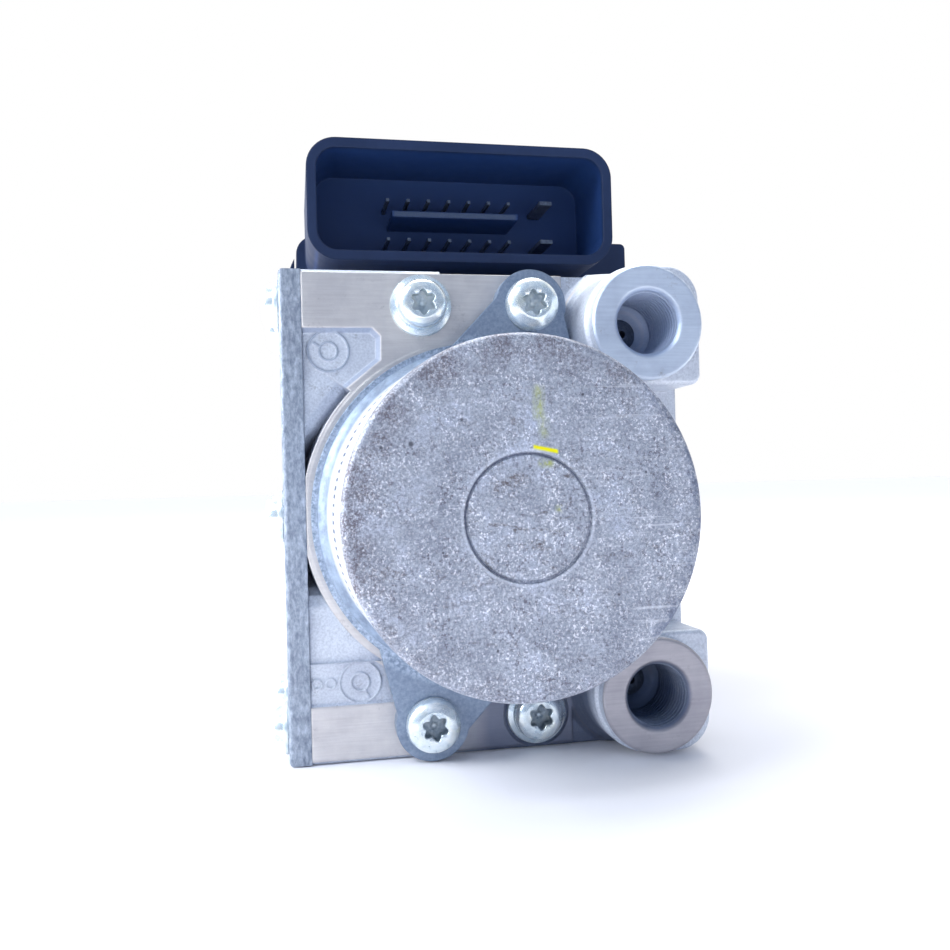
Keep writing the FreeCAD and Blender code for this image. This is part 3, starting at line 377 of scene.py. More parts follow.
def zinc_can_finish():
    """Galvanised sheet: bright and dark flecks in clusters, drawn streaks, a worn rim, a paint mark."""
    f = Finish("galvanised_can", 0.5, 0.5)
    x, y, z = f.axes()
    away = f.distance(0, AXIS_Z)
    rise = f.math("SUBTRACT", z, AXIS_Z)
    fleck = f.noise(0.36, 2.0, 0.8)
    cloud = f.noise(6.5, 4.0, 0.6, shift=3.0)

    # Zinc flecks over three greys, in lighter and darker clouds.
    light = f.times(f.band(f.noise(0.36, 2.0, 0.7, shift=4.0), 0.54, 0.64),
                    f.band(f.noise(3.2, 3.0, 0.65, shift=71.0), 0.38, 0.60, 0.22, 1.0))
    dark = f.times(f.band(f.noise(0.45, 2.0, 0.7, shift=11.0), 0.46, 0.36),
                   f.band(f.noise(4.2, 3.0, 0.65, shift=77.0), 0.42, 0.62, 0.2, 1.0))
    base = f.ramp(fleck, [(0.30, (0.25, 0.275, 0.33)), (0.50, (0.37, 0.40, 0.475)),
                          (0.70, (0.50, 0.535, 0.62))])
    base = f.mix(f.times(light, 0.85), base, (0.95, 0.95, 1.0))
    base = f.mix(f.times(dark, 0.75), base, (0.11, 0.10, 0.135))
    tone = f.ramp(cloud, [(0.30, (0.74, 0.75, 0.78)), (0.52, (1.0, 1.0, 1.0)), (0.72, (1.22, 1.24, 1.28))])
    colour = f.mix(0.9, base, tone, "MULTIPLY")

    # Brown drawn streaks, strongest inside the groove, and pale smears on the right.
    streak = f.noise(2.6, 5.0, 0.7, stretch=(0.5, 1, 1.3), shift=9.0, distortion=0.6)
    brown = f.times(f.band(streak, 0.56, 0.66), f.band(fleck, 0.60, 0.44))
    pocket = f.band(away, GROOVE_R + 0.3, GROOVE_R - 0.5, 0.45, 1.0)
    colour = f.mix(f.times(brown, pocket), colour, (0.14, 0.125, 0.135))
    smear = f.noise(1.3, 3.0, 0.6, stretch=(0.12, 1, 2.4), shift=17.0)
    pale = f.times(f.band(smear, 0.58, 0.70), f.band(x, 6.0, 16.0, 0.15, 0.55))
    colour = f.mix(pale, colour, (0.72, 0.74, 0.80))

    # Worn rim: dark at the upper left, blue in patches on the right.
    side = f.band(f.math("SUBTRACT", rise, x), -8.0, 16.0, 0.25, 1.0)
    patch = f.band(f.noise(4.0, 5.0, 0.7, shift=21.0), 0.40, 0.60)
    rim = f.times(f.band(away, 20.5, 24.5), f.band(y, CAN_FRONT + 1.6, CAN_FRONT + 0.9),
                  side, patch, f.band(fleck, 0.66, 0.42))
    colour = f.mix(f.times(rim, 0.85), colour, (0.13, 0.11, 0.135))
    right = f.times(f.band(away, 24.2, 25.8), f.band(f.noise(2.6, 4.0, 0.65, shift=41.0), 0.46, 0.56),
                    f.band(x, 10.0, 20.0))
    colour = f.mix(f.times(right, 0.7), colour, (0.10, 0.13, 0.22))

    colour = paint_mark(f, colour)
    for px, pz, r in PITS:
        colour = f.mix(f.times(f.band(f.distance(px, pz), r, r * 0.45), 0.8), colour, (0.05, 0.05, 0.07))

    # Painted shade in the groove, fading to the lower right, and a painted highlight on its outer lip.
    front = f.band(y, CAN_FRONT + 1.2, CAN_FRONT + 0.6)
    lip_highlight = f.times(f.band(f.gap(away, GROOVE_R + 0.52), 0.30, 0.08), front, 0.35)
    colour = f.mix(lip_highlight, colour, (0.72, 0.76, 0.86))
    fade = f.band(f.math("SUBTRACT", x, rise), 2.0, 12.5, 0.75, 0.15)
    groove = f.times(f.band(f.gap(away, GROOVE_R), 0.17, 0.07), front, fade)
    colour = f.mix(groove, colour, (0.045, 0.06, 0.115))

    # Painted highlight on the left side, dull flare, painted shade of the pressed dashes.
    left_highlight = f.times(f.band(y, CAN_FRONT + 0.9, CAN_FRONT + 1.8), f.band(x, -4.0, -14.0), 0.5)
    colour = f.mix(left_highlight, colour, (0.90, 0.93, 0.98))
    flare = f.band(away, CAN_BODY_R + 0.05, CAN_BODY_R + 0.3)
    dull = f.ramp(f.noise(2.2, 4.0, 0.65, shift=81.0),
                  [(0.35, (0.20, 0.26, 0.36)), (0.65, (0.36, 0.46, 0.60))])
    colour = f.mix(f.times(flare, 0.9), colour, dull)
    colour = f.mix(crimp_dash_shade(f, x, y, rise), colour, (0.04, 0.07, 0.16))
    normal = f.bump(cloud, 0.3, 0.12, f.bump(fleck, 0.5, 0.05))
    return f.finish(colour, f.band(fleck, 0.35, 0.7, 0.62, 0.40), normal)


def crimp_dash_shade(f, x, y, rise):
    """Painted shade of a row of short pressed dashes round the middle of the can's side."""
    wave = f.math("SINE", f.times(f.math("ARCTAN2", rise, x), float(DASHES)))
    uneven = f.band(f.noise(2.5, 2.0, 0.5, shift=51.0), 0.3, 0.7, -0.5, 0.7)
    dash = f.band(wave, uneven, f.math("ADD", uneven, 0.25))
    row = f.band(f.gap(y, DASH_ROW_Y), 2.1, 1.7)
    outside = f.band(f.distance(0, AXIS_Z), CAN_BODY_R - 1.2, CAN_BODY_R - 0.8)
    return f.times(dash, row, outside, 0.95)


def paint_mark(f, colour):
    """Yellow inspection mark: a thin dragged streak above the bearing pocket and a bright dab on its edge."""
    x, y, z = f.axes()

    def patch(x0, x1, low, high, soft, lean=0.0):
        """Soft-edged patch from x0 to x1 and from low to high above the motor axis."""
        z0, z1 = AXIS_Z + low, AXIS_Z + high
        rise = f.math("SUBTRACT", z, f.times(f.math("SUBTRACT", x, (x0 + x1) / 2), lean))
        return f.times(f.band(x, x0 - soft, x0 + soft), f.band(x, x1 + soft, x1 - soft),
                       f.band(rise, z0 - soft, z0 + soft), f.band(rise, z1 + soft, z1 - soft))

    grit = f.band(f.noise(0.7, 4.0, 0.75, stretch=(1, 1, 0.5), shift=31.0), 0.40, 0.62)
    drag = f.math("ADD", f.times(grit, 0.75), 0.25)
    streak = f.times(patch(1.15, 2.5, 14.0, 18.6, 0.45), drag)
    lower = f.times(patch(1.9, 3.1, 11.4, 14.6, 0.5), drag, 0.7)
    streak = f.math("MAXIMUM", streak, lower)
    traces = f.math("MAXIMUM", patch(1.7, 3.7, 7.2, 8.1, 0.35), patch(4.0, 5.0, 0.8, 1.5, 0.35))
    dab = f.times(patch(0.9, 4.5, 9.35, 9.95, 0.13, -0.2),
                  f.band(f.noise(0.9, 2.0, 0.5, shift=61.0), 0.25, 0.42))
    faint = f.math("MAXIMUM", f.times(streak, 0.72), f.times(traces, grit, 0.85))
    front = f.band(y, CAN_FRONT + 1.2, CAN_FRONT + 0.6)
    colour = f.mix(f.times(faint, front), colour, (0.46, 0.50, 0.10))
    return f.mix(f.times(dab, front), colour, (0.92, 0.86, 0.0))


def cast_block_finish():
    """Cast aluminium: sand grain, milled front, turned port faces; painted shade on the lower port face, bore
    mouth and recess walls, painted haze light on the upper ones, and the can's painted shadow low on the
    right.
    """
    f = Finish("cast_aluminium", 0.7, 0.5)
    x, y, z = f.axes()
    grain = f.noise(0.4, 4.0, 0.7)
    stain = f.noise(7.0, 4.0, 0.6, shift=5.0)
    brushed = f.noise(1.4, 4.0, 0.65, stretch=(0.15, 1, 3.0))
    upper = f.band(z, 40.0, 46.0)

    cast = f.ramp(grain, [(0.3, (0.58, 0.62, 0.69)), (0.55, (0.74, 0.78, 0.85)), (0.8, (0.88, 0.92, 0.98))])
    milled = f.ramp(brushed, [(0.3, (0.66, 0.63, 0.62)), (0.7, (0.76, 0.735, 0.72))])
    # Painted light: the upper port face is lit and bluer, the lower one is in painted shade under the can.
    shaded_port_face = f.ramp(brushed, [(0.3, (0.40, 0.385, 0.42)), (0.7, (0.48, 0.46, 0.49))])
    lit_port_face = f.ramp(brushed, [(0.3, (0.60, 0.68, 0.80)), (0.7, (0.70, 0.78, 0.90))])
    front = f.times(f.band(y, -0.2, -0.12), f.band(y, 0.25, 0.12))
    faces = f.band(y, PORT_FACE_Y + 0.4, PORT_FACE_Y)
    colour = f.mix(front, cast, milled)
    colour = f.mix(faces, colour, f.mix(upper, shaded_port_face, lit_port_face))
    colour = f.mix(0.7, colour, f.ramp(stain, [(0.35, (0.80, 0.80, 0.83)), (0.6, (1, 1, 1))]), "MULTIPLY")

    darkening = f.times(f.band(f.noise(3.5, 5.0, 0.75, shift=15.0), 0.58, 0.72), f.band(grain, 0.6, 0.4), 0.45)
    colour = f.mix(darkening, colour, (0.20, 0.19, 0.20))
    # Painted shade on the walls of the recess.
    recess_wall_shade = f.times(f.band(y, 0.08, 0.2), f.band(y, 1.15, 1.0), f.band(x, -12.0, -13.0),
                          f.band(z, 40.0, 45.0), 0.55)
    colour = f.mix(recess_wall_shade, colour, (0.34, 0.40, 0.52))
    # Painted shadow of the can on the block's front, low on the right.
    can_shadow = f.times(f.band(z, 17.0, 10.0), f.band(x, -9.0, 1.0), f.band(y, -9.0, -6.0),
                  f.band(y, 6.0, 3.0), 0.78)
    colour = f.mix(can_shadow, colour, (0.08, 0.11, 0.20))
    # Painted shade at the lower bore's mouth and painted haze light at the upper one.
    away = f.math("MINIMUM", *(f.distance(PORT_X, z) for z in PORT_Z))
    bore_shade_and_haze = f.times(f.band(away, PORT_BORE_R + 0.57, PORT_BORE_R + 0.17), 0.65)
    colour = f.mix(bore_shade_and_haze, colour, f.mix(upper, (0.07, 0.12, 0.24), (0.36, 0.46, 0.66)))

    rough = f.band(f.math("MAXIMUM", front, faces), 0, 1, 0.58, 0.42)
    turning_marks = f.math("SINE", f.times(away, 42.0))
    normal = f.bump(grain, 0.5, 0.05, f.soft_edges(0.55))
    normal = f.bump(f.times(turning_marks, faces), 0.25, 0.01, normal)
    normal = f.bump(f.times(brushed, front), 0.3, 0.03, normal)
    return f.finish(colour, rough, normal)


def metal_finish(name, dark, mid, light, size, metallic, roughness, depth=0.03, stretch=None, edge=0.0):
    """Plain metal: three tones over a noise of that grain size, with stains and softened edges."""
    f = Finish(name, metallic, roughness)
    grain = f.noise(size, 5.0, 0.7, stretch=stretch)
    broad = f.noise(size * 9, 4.0, 0.65, shift=13.0)
    colour = f.ramp(grain, [(0.32, dark), (0.5, mid), (0.70, light)])
    stains = f.ramp(broad, [(0.35, (0.74, 0.74, 0.77)), (0.62, (1.0, 1.0, 1.0))])
    colour = f.mix(0.6, colour, stains, "MULTIPLY")
    rough = f.band(broad, 0.3, 0.7, roughness + 0.08, roughness - 0.08)
    return f.finish(colour, rough, f.bump(grain, 0.4, depth, f.soft_edges(edge) if edge else None))


def screw_finish():
    """Bright zinc with pale blue and straw tints; painted shade in the recess and at the foot, less on the
    upper screws.
    """
    f = Finish("bright_zinc_screw", 0.75, 0.27)
    cloud = f.noise(1.6, 4.0, 0.6)
    tint = f.noise(3.0, 2.0, 0.5, shift=27.0)
    colour = f.ramp(cloud, [(0.32, (0.60, 0.70, 0.77)), (0.5, (0.82, 0.90, 0.93)), (0.70, (0.98, 1.0, 0.96))])
    colour = f.mix(f.band(tint, 0.55, 0.68, 0.0, 0.35), colour, (0.86, 0.84, 0.62))
    painted_shade = f.node("ShaderNodeAttribute", attribute_name="painted_shade").outputs["Fac"]
    # Painted shade, stronger on the lower screws, which sit under the can.
    shade_mask = f.times(painted_shade, f.band(f.noise(0.5, 3.0, 0.6, shift=5.0), 0.30, 0.62, 0.70, 1.0),
                   f.band(f.axes()[2], 30.0, 60.0, 0.72, 0.36))
    colour = f.mix(shade_mask, colour, (0.09, 0.14, 0.20))
    rough = f.math("ADD", f.band(cloud, 0.3, 0.7, 0.30, 0.18), f.times(painted_shade, 0.3))
    return f.finish(colour, rough, f.bump(cloud, 0.3, 0.02))


def flange_finish():
    """Zinc-plated flange: cool grey with soft clouds, its rim and ears darker and worn in specks."""
    f = Finish("dark_zinc_flange", 0.55, 0.46)
    grain = f.noise(0.7, 5.0, 0.75)
    cloud = f.noise(7.0, 4.0, 0.6, shift=13.0)
    colour = f.ramp(grain, [(0.30, (0.26, 0.33, 0.43)), (0.5, (0.45, 0.54, 0.67)),
                            (0.72, (0.68, 0.77, 0.90))])
    away = f.distance(0, AXIS_Z)
    ears = f.band(away, 29.6, 31.5)
    rim = f.times(f.band(away, 28.8, 29.5), f.band(grain, 0.62, 0.42))
    dark = f.math("MAXIMUM", f.times(ears, 0.62), f.times(rim, 0.6))
    colour = f.mix(dark, colour, (0.15, 0.20, 0.29))
    clouds = f.ramp(cloud, [(0.35, (0.78, 0.80, 0.84)), (0.62, (1.0, 1.0, 1.0))])
    colour = f.mix(0.6, colour, clouds, "MULTIPLY")
    normal = f.bump(grain, 0.35, 0.05, f.soft_edges(0.4))
    return f.finish(colour, f.band(cloud, 0.3, 0.7, 0.52, 0.38), normal)


def plastic_finish(name, base, sheen, size, roughness):
    """Moulded plastic with fine spark grain and faint handling marks."""
    f = Finish(name, 0.0, roughness)
    grain = f.noise(size, 3.0, 0.6)
    cloud = f.noise(size * 40, 4.0, 0.6, shift=7.0)
    colour = f.mix(f.band(cloud, 0.4, 0.72), base, sheen)
    rough = f.band(cloud, 0.3, 0.7, roughness - 0.07, roughness + 0.09)
    return f.finish(colour, rough, f.bump(grain, 0.35, 0.02))


def housing_finish():
    """Blue-black glass-filled plastic; inside the socket a bluer painted haze light; the rib there is paler in
    front.
    """
    f = Finish("moulded_black", 0.0, 0.55)
    x, y, z = f.axes()
    grain = f.noise(0.25, 3.0, 0.6)
    cloud = f.noise(10.0, 4.0, 0.6, shift=7.0)
    colour = f.mix(f.band(cloud, 0.4, 0.72), (0.007, 0.020, 0.066), (0.012, 0.029, 0.088))
    # Painted haze light: the inside of the socket is bluer and brighter than the rest.
    inside = f.times(f.band(y, SOCKET_Y[0], SOCKET_Y[0] + 1.4), f.band(y, SOCKET_Y[1], SOCKET_Y[1] - 0.9),
                     f.band(z, SOCKET_Z[0] - 0.25, SOCKET_Z[0] + 0.25),
                     f.band(z, SOCKET_Z[1] + 0.3, SOCKET_Z[1] - 0.3),
                     f.band(x, SOCKET_X[0] - 0.3, SOCKET_X[0] + 0.3),
                     f.band(x, SOCKET_X[1] + 0.4, SOCKET_X[1] - 0.3))
    colour = f.mix(inside, colour, (0.012, 0.042, 0.150))
    rib = f.times(f.band(f.gap(z, RIB_Z), 0.75, 0.35), f.band(f.gap(x, RIB_X), 13.0, 12.2),
                  f.band(y, 23.0, 22.2), f.band(y, 20.0, 21.0), f.band(grain, 0.35, 0.6, 0.6, 1.0))
    colour = f.mix(rib, colour, (0.06, 0.085, 0.14))
    f.shader.inputs["Specular IOR Level"].default_value = 0.35
    rough = f.band(cloud, 0.3, 0.7, 0.48, 0.62)
    return f.finish(colour, rough, f.bump(grain, 0.35, 0.02, f.soft_edges(0.5)))


FINISHES = {
    "cast_aluminium": cast_block_finish(),
    "zinc_steel": zinc_can_finish(),
    "dark_zinc": flange_finish(),
    "sheared_steel": metal_finish("sheared_plate", (0.18, 0.22, 0.29), (0.36, 0.41, 0.49), (0.60, 0.66, 0.75),
                                  0.8, 0.55, 0.52, 0.07, (1, 1, 0.45), 0.35),
    "bright_zinc": screw_finish(),
    "bearing_steel": metal_finish("ground_steel", (0.48, 0.49, 0.51), (0.60, 0.61, 0.63), (0.74, 0.75, 0.77),
                                  0.4, 1.0, 0.28, 0.004),
    # The port seats sit deep in the bores: their dark blue-grey is painted shade.
    "port_seat": metal_finish("seat_in_shade", (0.10, 0.13, 0.19), (0.14, 0.18, 0.26), (0.20, 0.25, 0.34),
                              0.5, 0.6, 0.6, 0.006),
    "laminated_steel": metal_finish("laminated_core", (0.20, 0.20, 0.21), (0.33, 0.33, 0.35),
                                    (0.46, 0.46, 0.48), 0.5, 0.9, 0.45, 0.02, (0.2, 4.0, 0.2)),
    "ferrite": metal_finish("ferrite", (0.05, 0.05, 0.055), (0.09, 0.09, 0.095), (0.14, 0.14, 0.15),
                            0.3, 0.1, 0.7, 0.03),
    "copper": metal_finish("enamelled_copper", (0.42, 0.16, 0.06), (0.66, 0.29, 0.12), (0.85, 0.46, 0.24),
                           0.35, 0.9, 0.32, 0.03, (0.3, 5.0, 0.3)),
    # The socket pins are dark blue-grey as painted shade of the socket, not the colour of tin.
    "tinned_brass": metal_finish("tinned_brass", (0.08, 0.10, 0.14), (0.12, 0.15, 0.21), (0.20, 0.24, 0.32),
                                 0.6, 0.7, 0.45, 0.005),
    "black_plastic": housing_finish(),
    "brown_plastic": plastic_finish("phenolic_brown", (0.20, 0.12, 0.07), (0.27, 0.17, 0.10), 0.3, 0.5),
    "green_board": plastic_finish("solder_resist", (0.02, 0.11, 0.05), (0.03, 0.15, 0.07), 0.6, 0.35),
    "chip_black": plastic_finish("component_black", (0.02, 0.02, 0.022), (0.035, 0.035, 0.038), 0.2, 0.55),
    "carbon": plastic_finish("sintered_carbon", (0.03, 0.03, 0.03), (0.06, 0.06, 0.06), 0.3, 0.6),
    "rubber_black": plastic_finish("seal_rubber", (0.012, 0.012, 0.013), (0.022, 0.022, 0.023), 0.4, 0.7),
}

for part in frame["record"]["subparts"]:
    mesh = NODES[part["node"]].data
    mesh.materials.clear()
    seat = part["node"] == "port_seats"
    mesh.materials.append(FINISHES["port_seat" if seat else part["material_slot"]])


# ---------------------------------------------------------------- finer pieces


def can_shell():
    """Drawn cup turned about the motor axis: grooved flat front, rolled shoulder, sides that widen backwards
    from CAN_FRONT_R to CAN_BODY_R, pressed seam, flared open end."""
    front, back, r = CAN_FRONT, CAN_BACK, CAN_BODY_R
    groove = [(GROOVE_R - 0.3, front + 0.05), (GROOVE_R - 0.12, front + 0.36),
              (GROOVE_R + 0.12, front + 0.36), (GROOVE_R + 0.26, front + 0.01),
              (GROOVE_R + 0.6, front), (GROOVE_R + 1.3, front + 0.02)]
    centre = [(0.0, front + 0.02), (GROOVE_R - 0.8, front + 0.02)] + groove
    disc = [groove[-1], (CAN_FRONT_R - SHOULDER, front)]
    shoulder = arc(CAN_FRONT_R - SHOULDER, front + SHOULDER, SHOULDER, -90, 0, 16)
    seam = [(r, -9.7), (r - 0.12, -9.45), (r - 0.3, -9.3), (r - 0.3, -9.1), (r - 0.12, -8.95), (r, -8.7),
            (r, -7.7)]
    flare = [(r + 0.06, -7.0), (r + 0.2, -6.3), (r + 0.42, -5.6), (r + 0.72, -5.0), (r + 1.05, -4.5),
             (r + 1.4, -4.1), (r + 1.62, -3.8), (r + FLARE, back)]
    corner_r, floor = 1.4, front + CAN_WALL
    inner_r = r - CAN_WALL - 0.9
    inside = [(r - CAN_WALL, back), (inner_r, floor + corner_r)]
    corner = arc(inner_r - corner_r, floor + corner_r, corner_r, 0, -90, 8)
    floor_line = [(inner_r - corner_r, floor), (0.0, floor)]
    runs = [smooth_profile(disc, 0.6), shoulder,
            smooth_profile([(CAN_FRONT_R, front + SHOULDER)] + seam, 0.8),
            smooth_profile(seam[-1:] + flare, 0.5), smooth_profile(flare[-1:] + inside, 2.0), corner,
            smooth_profile(floor_line, 2.5)]
    profile = np.vstack([smooth_profile(centre, 0.6)] + [run[1:] for run in runs])
    return turned(profile, 360, (0, 0, AXIS_Z), (0, 1, 0))


def stand_in(piece, node):
    """The piece is shown instead of that CAD node, which is hidden."""
    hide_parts(node)


mesh_can = mesh_piece("can_shell", [can_shell()], FINISHES["zinc_steel"])
stand_in(mesh_can, "motor_can")

# Profiles (r, h) of the screw heads from foot to recess rim, and where the screws stand.
PAN_HEAD = [(4.5, 0), (4.75, 0.3), (4.78, 0.8), (4.7, 1.35), (4.5, 1.9), (4.15, 2.35), (3.65, 2.72),
            (3.1, 3.0), (2.7, 3.1)]
FLANGE_HEAD = [(5.35, 0), (5.5, 0.2), (5.5, 0.5), (5.35, 0.85), (4.9, 1.05), (4.5, 1.3), (4.38, 1.7),
               (4.35, 2.6), (4.25, 3.05), (4.0, 3.5), (3.65, 3.85), (3.2, 4.12), (2.7, 4.25)]
BUTTON_HEAD = [(4.55, 0), (4.65, 0.2), (4.62, 0.5), (4.4, 0.85), (3.95, 1.0), (3.85, 1.3), (3.75, 1.7),
               (3.55, 2.2), (3.2, 2.65), (2.7, 2.97)]
EARS = ((9.75, 36.5), (-9.75, -36.5))
CORNERS = ((-9.63, 36.76, 0.0), (9.63, -36.76, 0.5))
PLATE_SCREWS = [(y, z) for y in (5.5, 34.5) for z in (5.5, 43.0, 80.5)]
PLATE_OUTER = -34.33


def screw_set(name, node, parts):
    stand_in(mesh_piece(name, parts, FINISHES["bright_zinc"], sharp=32.0), node)


screw_set("motor_screw_heads", "motor_screws",
          [star_screw(PAN_HEAD, 13.5, (x, FLANGE_FRONT, AXIS_Z + z), (0, -1, 0), 0.6) for x, z in EARS])
screw_set("unit_screw_heads", "unit_screws",
          [star_screw(FLANGE_HEAD, 49.0 - y, (x, y, AXIS_Z + z), (0, -1, 0), 1.4) for x, z, y in CORNERS])
screw_set("plate_screw_heads", "side_plate_screws",
          [star_screw(BUTTON_HEAD, 13.0, (PLATE_OUTER, y, z), (-1, 0, 0), 0.3 * y) for y, z in PLATE_SCREWS])


THREAD_DEPTH = 0.24
THREAD_PITCH = 1.0


def thread_sleeve(z):
    """Tapped wall of one port: r(a, y) = PORT_BORE_R - THREAD_DEPTH ridge(y / THREAD_PITCH - a / 2 pi), where
    ridge rises and falls once per turn and fades out at both ends; a plain outer wall closes it."""
    around, per_turn = 96, 9
    start, stop = -12.98, -0.9
    rows = int((stop - start) / THREAD_PITCH * per_turn)
    y = np.linspace(start, stop, rows)[:, None]
    a = np.linspace(0, 2 * math.pi, around, endpoint=False)[None, :]
    phase = (y / THREAD_PITCH - a / (2 * math.pi)) % 1.0
    ridge = np.clip(1.5 - np.abs(phase - 0.5) * 4.0, 0.0, 1.0)
    fade = np.clip((y - start) / 0.8, 0, 1) * np.clip((stop - y) / 0.5, 0, 1)
    walls = []
    for r in (PORT_BORE_R - THREAD_DEPTH * ridge * fade, PORT_BORE_R + 0.015 + 0 * ridge):
        walls.append(np.stack([PORT_X + r * np.cos(a), y + 0 * a, z + r * np.sin(a)], -1))
    points = np.concatenate([walls[0], walls[1][::-1]])
    return points, grid_faces(len(points), around, True, True)


def coil_spring(start, direction, radius, wire, length, turns):
    """Round wire along a helix: at angle a its centre is start + d length a / (2 pi turns) + radius e(a), and
    the wire's circle of angle b adds wire (e(a) cos b + d sin b)."""
    per_turn, around = 40, 12
    d = Vector(direction).normalized()
    u = d.orthogonal().normalized()
    v = d.cross(u)
    d, u, v = (np.array(w)[None, None, :] for w in (d, u, v))
    a = np.linspace(0, 2 * math.pi * turns, turns * per_turn + 1)[:, None, None]
    b = np.linspace(0, 2 * math.pi, around, endpoint=False)[None, :, None]
    outward = u * np.cos(a) + v * np.sin(a)
    thick = np.full((len(a), 1, 1), wire)
    thick[0] = thick[-1] = 0.0
    points = np.asarray(start, float) + d * length * a / (2 * math.pi * turns) + radius * outward
    points = points + thick * (outward * np.cos(b) + d * np.sin(b))
    return points, grid_faces(len(points), around, False, True)


# Node, joint, axis of the coil, end that stays put (0 low, 1 high), coil radius, wire radius, turns, travel.
SPRINGS = (("accumulator_spring", "accumulator_slide", 0, 0, 4.35, 0.45, 5, 5.0),
           ("inlet_valve_spring", "inlet_valve_lift", 1, 0, 1.85, 0.22, 4, 0.4),
           ("outlet_valve_spring", "outlet_valve_lift", 1, 1, 1.65, 0.22, 4, 0.4))
SPRING_CLEARANCE = 0.02

for name, joint, axis, end, radius, wire, turns, travel in SPRINGS:
    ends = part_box(name)
    along = np.eye(3)[axis]
    middle = np.array((ends[0] + ends[1]) / 2) * 1000 - np.array([AXIS_X, FACE_Y, 0.0])
    reach = (ends[1][axis] - ends[0][axis]) * 1000
    length = reach - 2 * (wire + SPRING_CLEARANCE)
    turns_of_wire = coil_spring(middle - along * length / 2, along, radius, wire, length, turns)
    coil = mesh_piece(name.replace("spring", "coil"), [turns_of_wire], FINISHES["bearing_steel"])
    stand_in(coil, name)
    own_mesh(coil)

threads = mesh_piece("port_threads", [thread_sleeve(z) for z in PORT_Z], FINISHES["cast_aluminium"],
                     sharp=50.0)


# ---------------------------------------------------------------- stage


# Stage, in metres of the row frame.
FLOOR_HALF = 6.0
FLOOR_DROP = 0.0002
FLOOR_GLOW = (0.07, 0.26, 0.03, 0.24)

ROOM_FRONT, ROOM_BACK = -0.25, 0.3
ROOM_LOW = (0.20, 0.26, 0.37)
ROOM_HIGH = (0.40, 0.49, 0.64)
ROOM_LEFT = 2.0

# Name, place, diameter, power and colour of each lamp; all of them face LAMP_TARGET.
LAMPS = (("left_window", (-0.62, 0.0, 0.34), 0.45, 4.0, (0.95, 0.98, 1.0)),
         ("key_lamp", (-0.50, -0.40, 0.68), 0.24, 1.9, (0.95, 0.97, 1.0)),
         ("top_window", (0.05, 0.25, 0.85), 0.7, 4.5, (1.0, 1.0, 1.0)))
LAMP_TARGET = (0, 0, 0.045)

# Camera: where it stands in the block's millimetres, its axes and its lens.
EYE = (-32.33, -161.04, 48.135)
EYE_RIGHT = (0.98079, -0.19330, -0.02626)
EYE_UP = (0.02420, -0.01302, 0.99962)
LENS, SENSOR = 34.69, 36.0


def stage_floor():
    """Pale ground plane at the part's underside; its glow grows outwards, so that it stays pale there."""
    mesh = bpy.data.meshes.new("floor")
    s, z = FLOOR_HALF, cad_box[0].z - FLOOR_DROP
    mesh.from_pydata([(-s, -s, z), (s, -s, z), (s, s, z), (-s, s, z)], [], [(0, 1, 2, 3)])
    finish = bpy.data.materials.new("pale_floor")
    finish.use_nodes = True
    tree = finish.node_tree
    shader = tree.nodes["Principled BSDF"]
    shader.inputs["Roughness"].default_value = 0.7
    place = tree.nodes.new("ShaderNodeTexCoord")
    cloud = tree.nodes.new("ShaderNodeTexNoise")
    cloud.inputs["Scale"].default_value = 14.0
    tone = tree.nodes.new("ShaderNodeValToRGB")
    tone.color_ramp.elements[0].color = (0.88, 0.86, 0.91, 1)
    tone.color_ramp.elements[1].color = (0.93, 0.93, 0.94, 1)
    away = tree.nodes.new("ShaderNodeVectorMath")
    away.operation = "LENGTH"
    glow = tree.nodes.new("ShaderNodeMapRange")
    for slot, value in zip(glow.inputs[1:5], FLOOR_GLOW):
        slot.default_value = value
    tree.links.new(place.outputs["Object"], cloud.inputs["Vector"])
    tree.links.new(place.outputs["Object"], away.inputs[0])
    tree.links.new(away.outputs["Value"], glow.inputs[0])
    tree.links.new(cloud.outputs["Fac"], tone.inputs["Fac"])
    tree.links.new(tone.outputs["Color"], shader.inputs["Base Color"])
    shader.inputs["Emission Color"].default_value = (1.0, 1.0, 1.0, 1)
    tree.links.new(glow.outputs[0], shader.inputs["Emission Strength"])
    mesh.materials.append(finish)
    floor = bpy.data.objects.new("floor", mesh)
    bpy.context.scene.collection.objects.link(floor)


def soft_light(name, place, size, power, colour):
    data = bpy.data.lights.new(name, "AREA")
    data.shape = "DISK"
    data.size = size
    data.energy = power
    data.color = colour
    light = bpy.data.objects.new(name, data)
    light.location = place
    light.rotation_mode = "QUATERNION"
    light.rotation_quaternion = (Vector(LAMP_TARGET) - Vector(place)).to_track_quat("-Z", "Y")
    bpy.context.scene.collection.objects.link(light)


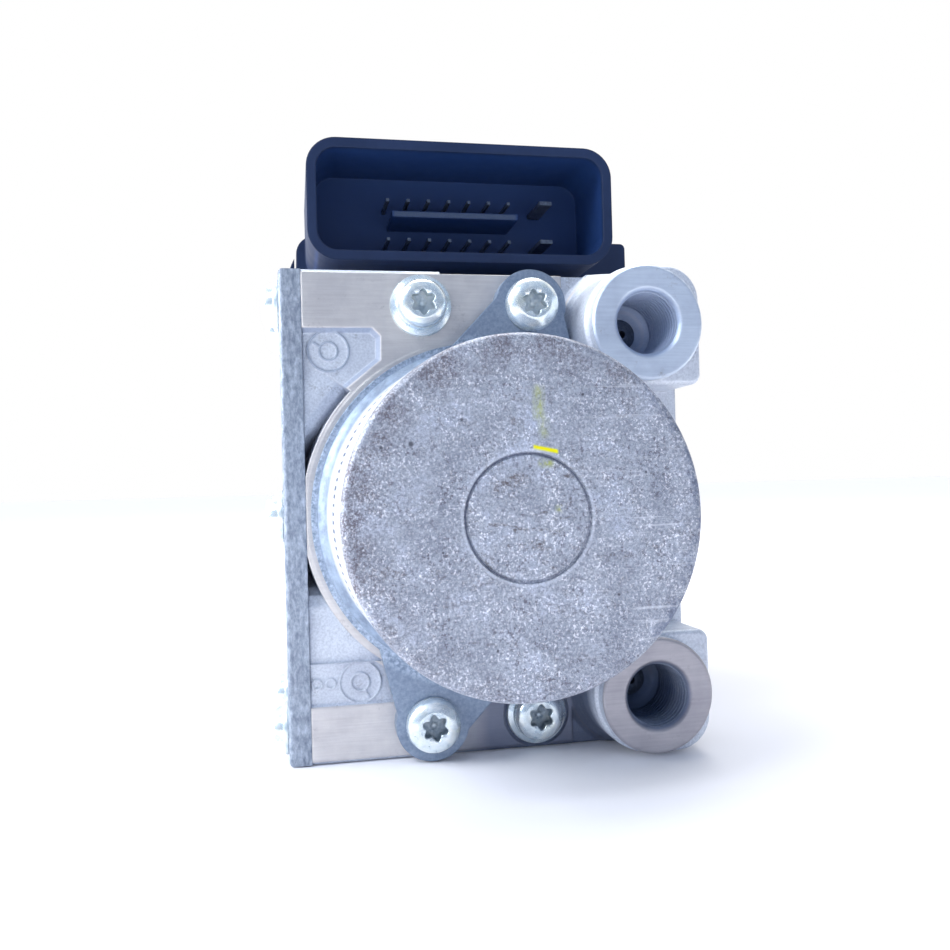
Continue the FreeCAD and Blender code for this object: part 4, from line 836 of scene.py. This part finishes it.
def camera():
    """Camera low on the motor side, slightly left of the axis."""
    right = Vector(EYE_RIGHT)
    back = right.cross(Vector(EYE_UP)).normalized()
    up = back.cross(right).normalized()
    data = bpy.data.cameras.new("camera")
    data.lens = LENS
    data.sensor_width = SENSOR
    data.clip_start = 0.01
    eye = bpy.data.objects.new("camera", data)
    turn = Matrix((right.normalized(), up, back)).transposed().to_4x4()
    eye.matrix_world = Matrix.Translation(Vector(in_place(EYE))) @ turn
    bpy.context.scene.collection.objects.link(eye)
    bpy.context.scene.camera = eye


def studio_room():
    """World brightness by direction: white behind the part, dimmer and cooler in front, strong on the left."""
    world = bpy.data.worlds.new("studio")
    world.use_nodes = True
    tree = world.node_tree
    background = tree.nodes["Background"]
    direction = tree.nodes.new("ShaderNodeTexCoord")
    split = tree.nodes.new("ShaderNodeSeparateXYZ")
    tree.links.new(direction.outputs["Generated"], split.inputs[0])
    across, depth, height = split.outputs

    def band(socket, low, high, start, stop):
        made = tree.nodes.new("ShaderNodeMapRange")
        made.interpolation_type = "SMOOTHSTEP"
        tree.links.new(socket, made.inputs[0])
        for slot, value in zip(made.inputs[1:5], (low, high, start, stop)):
            slot.default_value = value
        return made.outputs[0]

    def mix(factor, a, b):
        made = tree.nodes.new("ShaderNodeMix")
        made.data_type = "RGBA"
        tree.links.new(factor, made.inputs[0])
        for socket, value in ((made.inputs[6], a), (made.inputs[7], b)):
            if isinstance(value, tuple):
                socket.default_value = (*value, 1)
            else:
                tree.links.new(value, socket)
        return made.outputs[2]

    front = mix(band(height, -0.05, 0.7, 0.0, 1.0), ROOM_LOW, ROOM_HIGH)
    colour = mix(band(depth, ROOM_FRONT, ROOM_BACK, 0.0, 1.0), front, (1.0, 1.0, 1.0))
    tree.links.new(colour, background.inputs["Color"])
    tree.links.new(band(across, -0.35, -0.9, 1.0, ROOM_LEFT), background.inputs["Strength"])
    bpy.context.scene.world = world


stage_floor()
studio_room()
for lamp in LAMPS:
    soft_light(*lamp)
bpy.context.scene.view_settings.view_transform = "Standard"
camera()
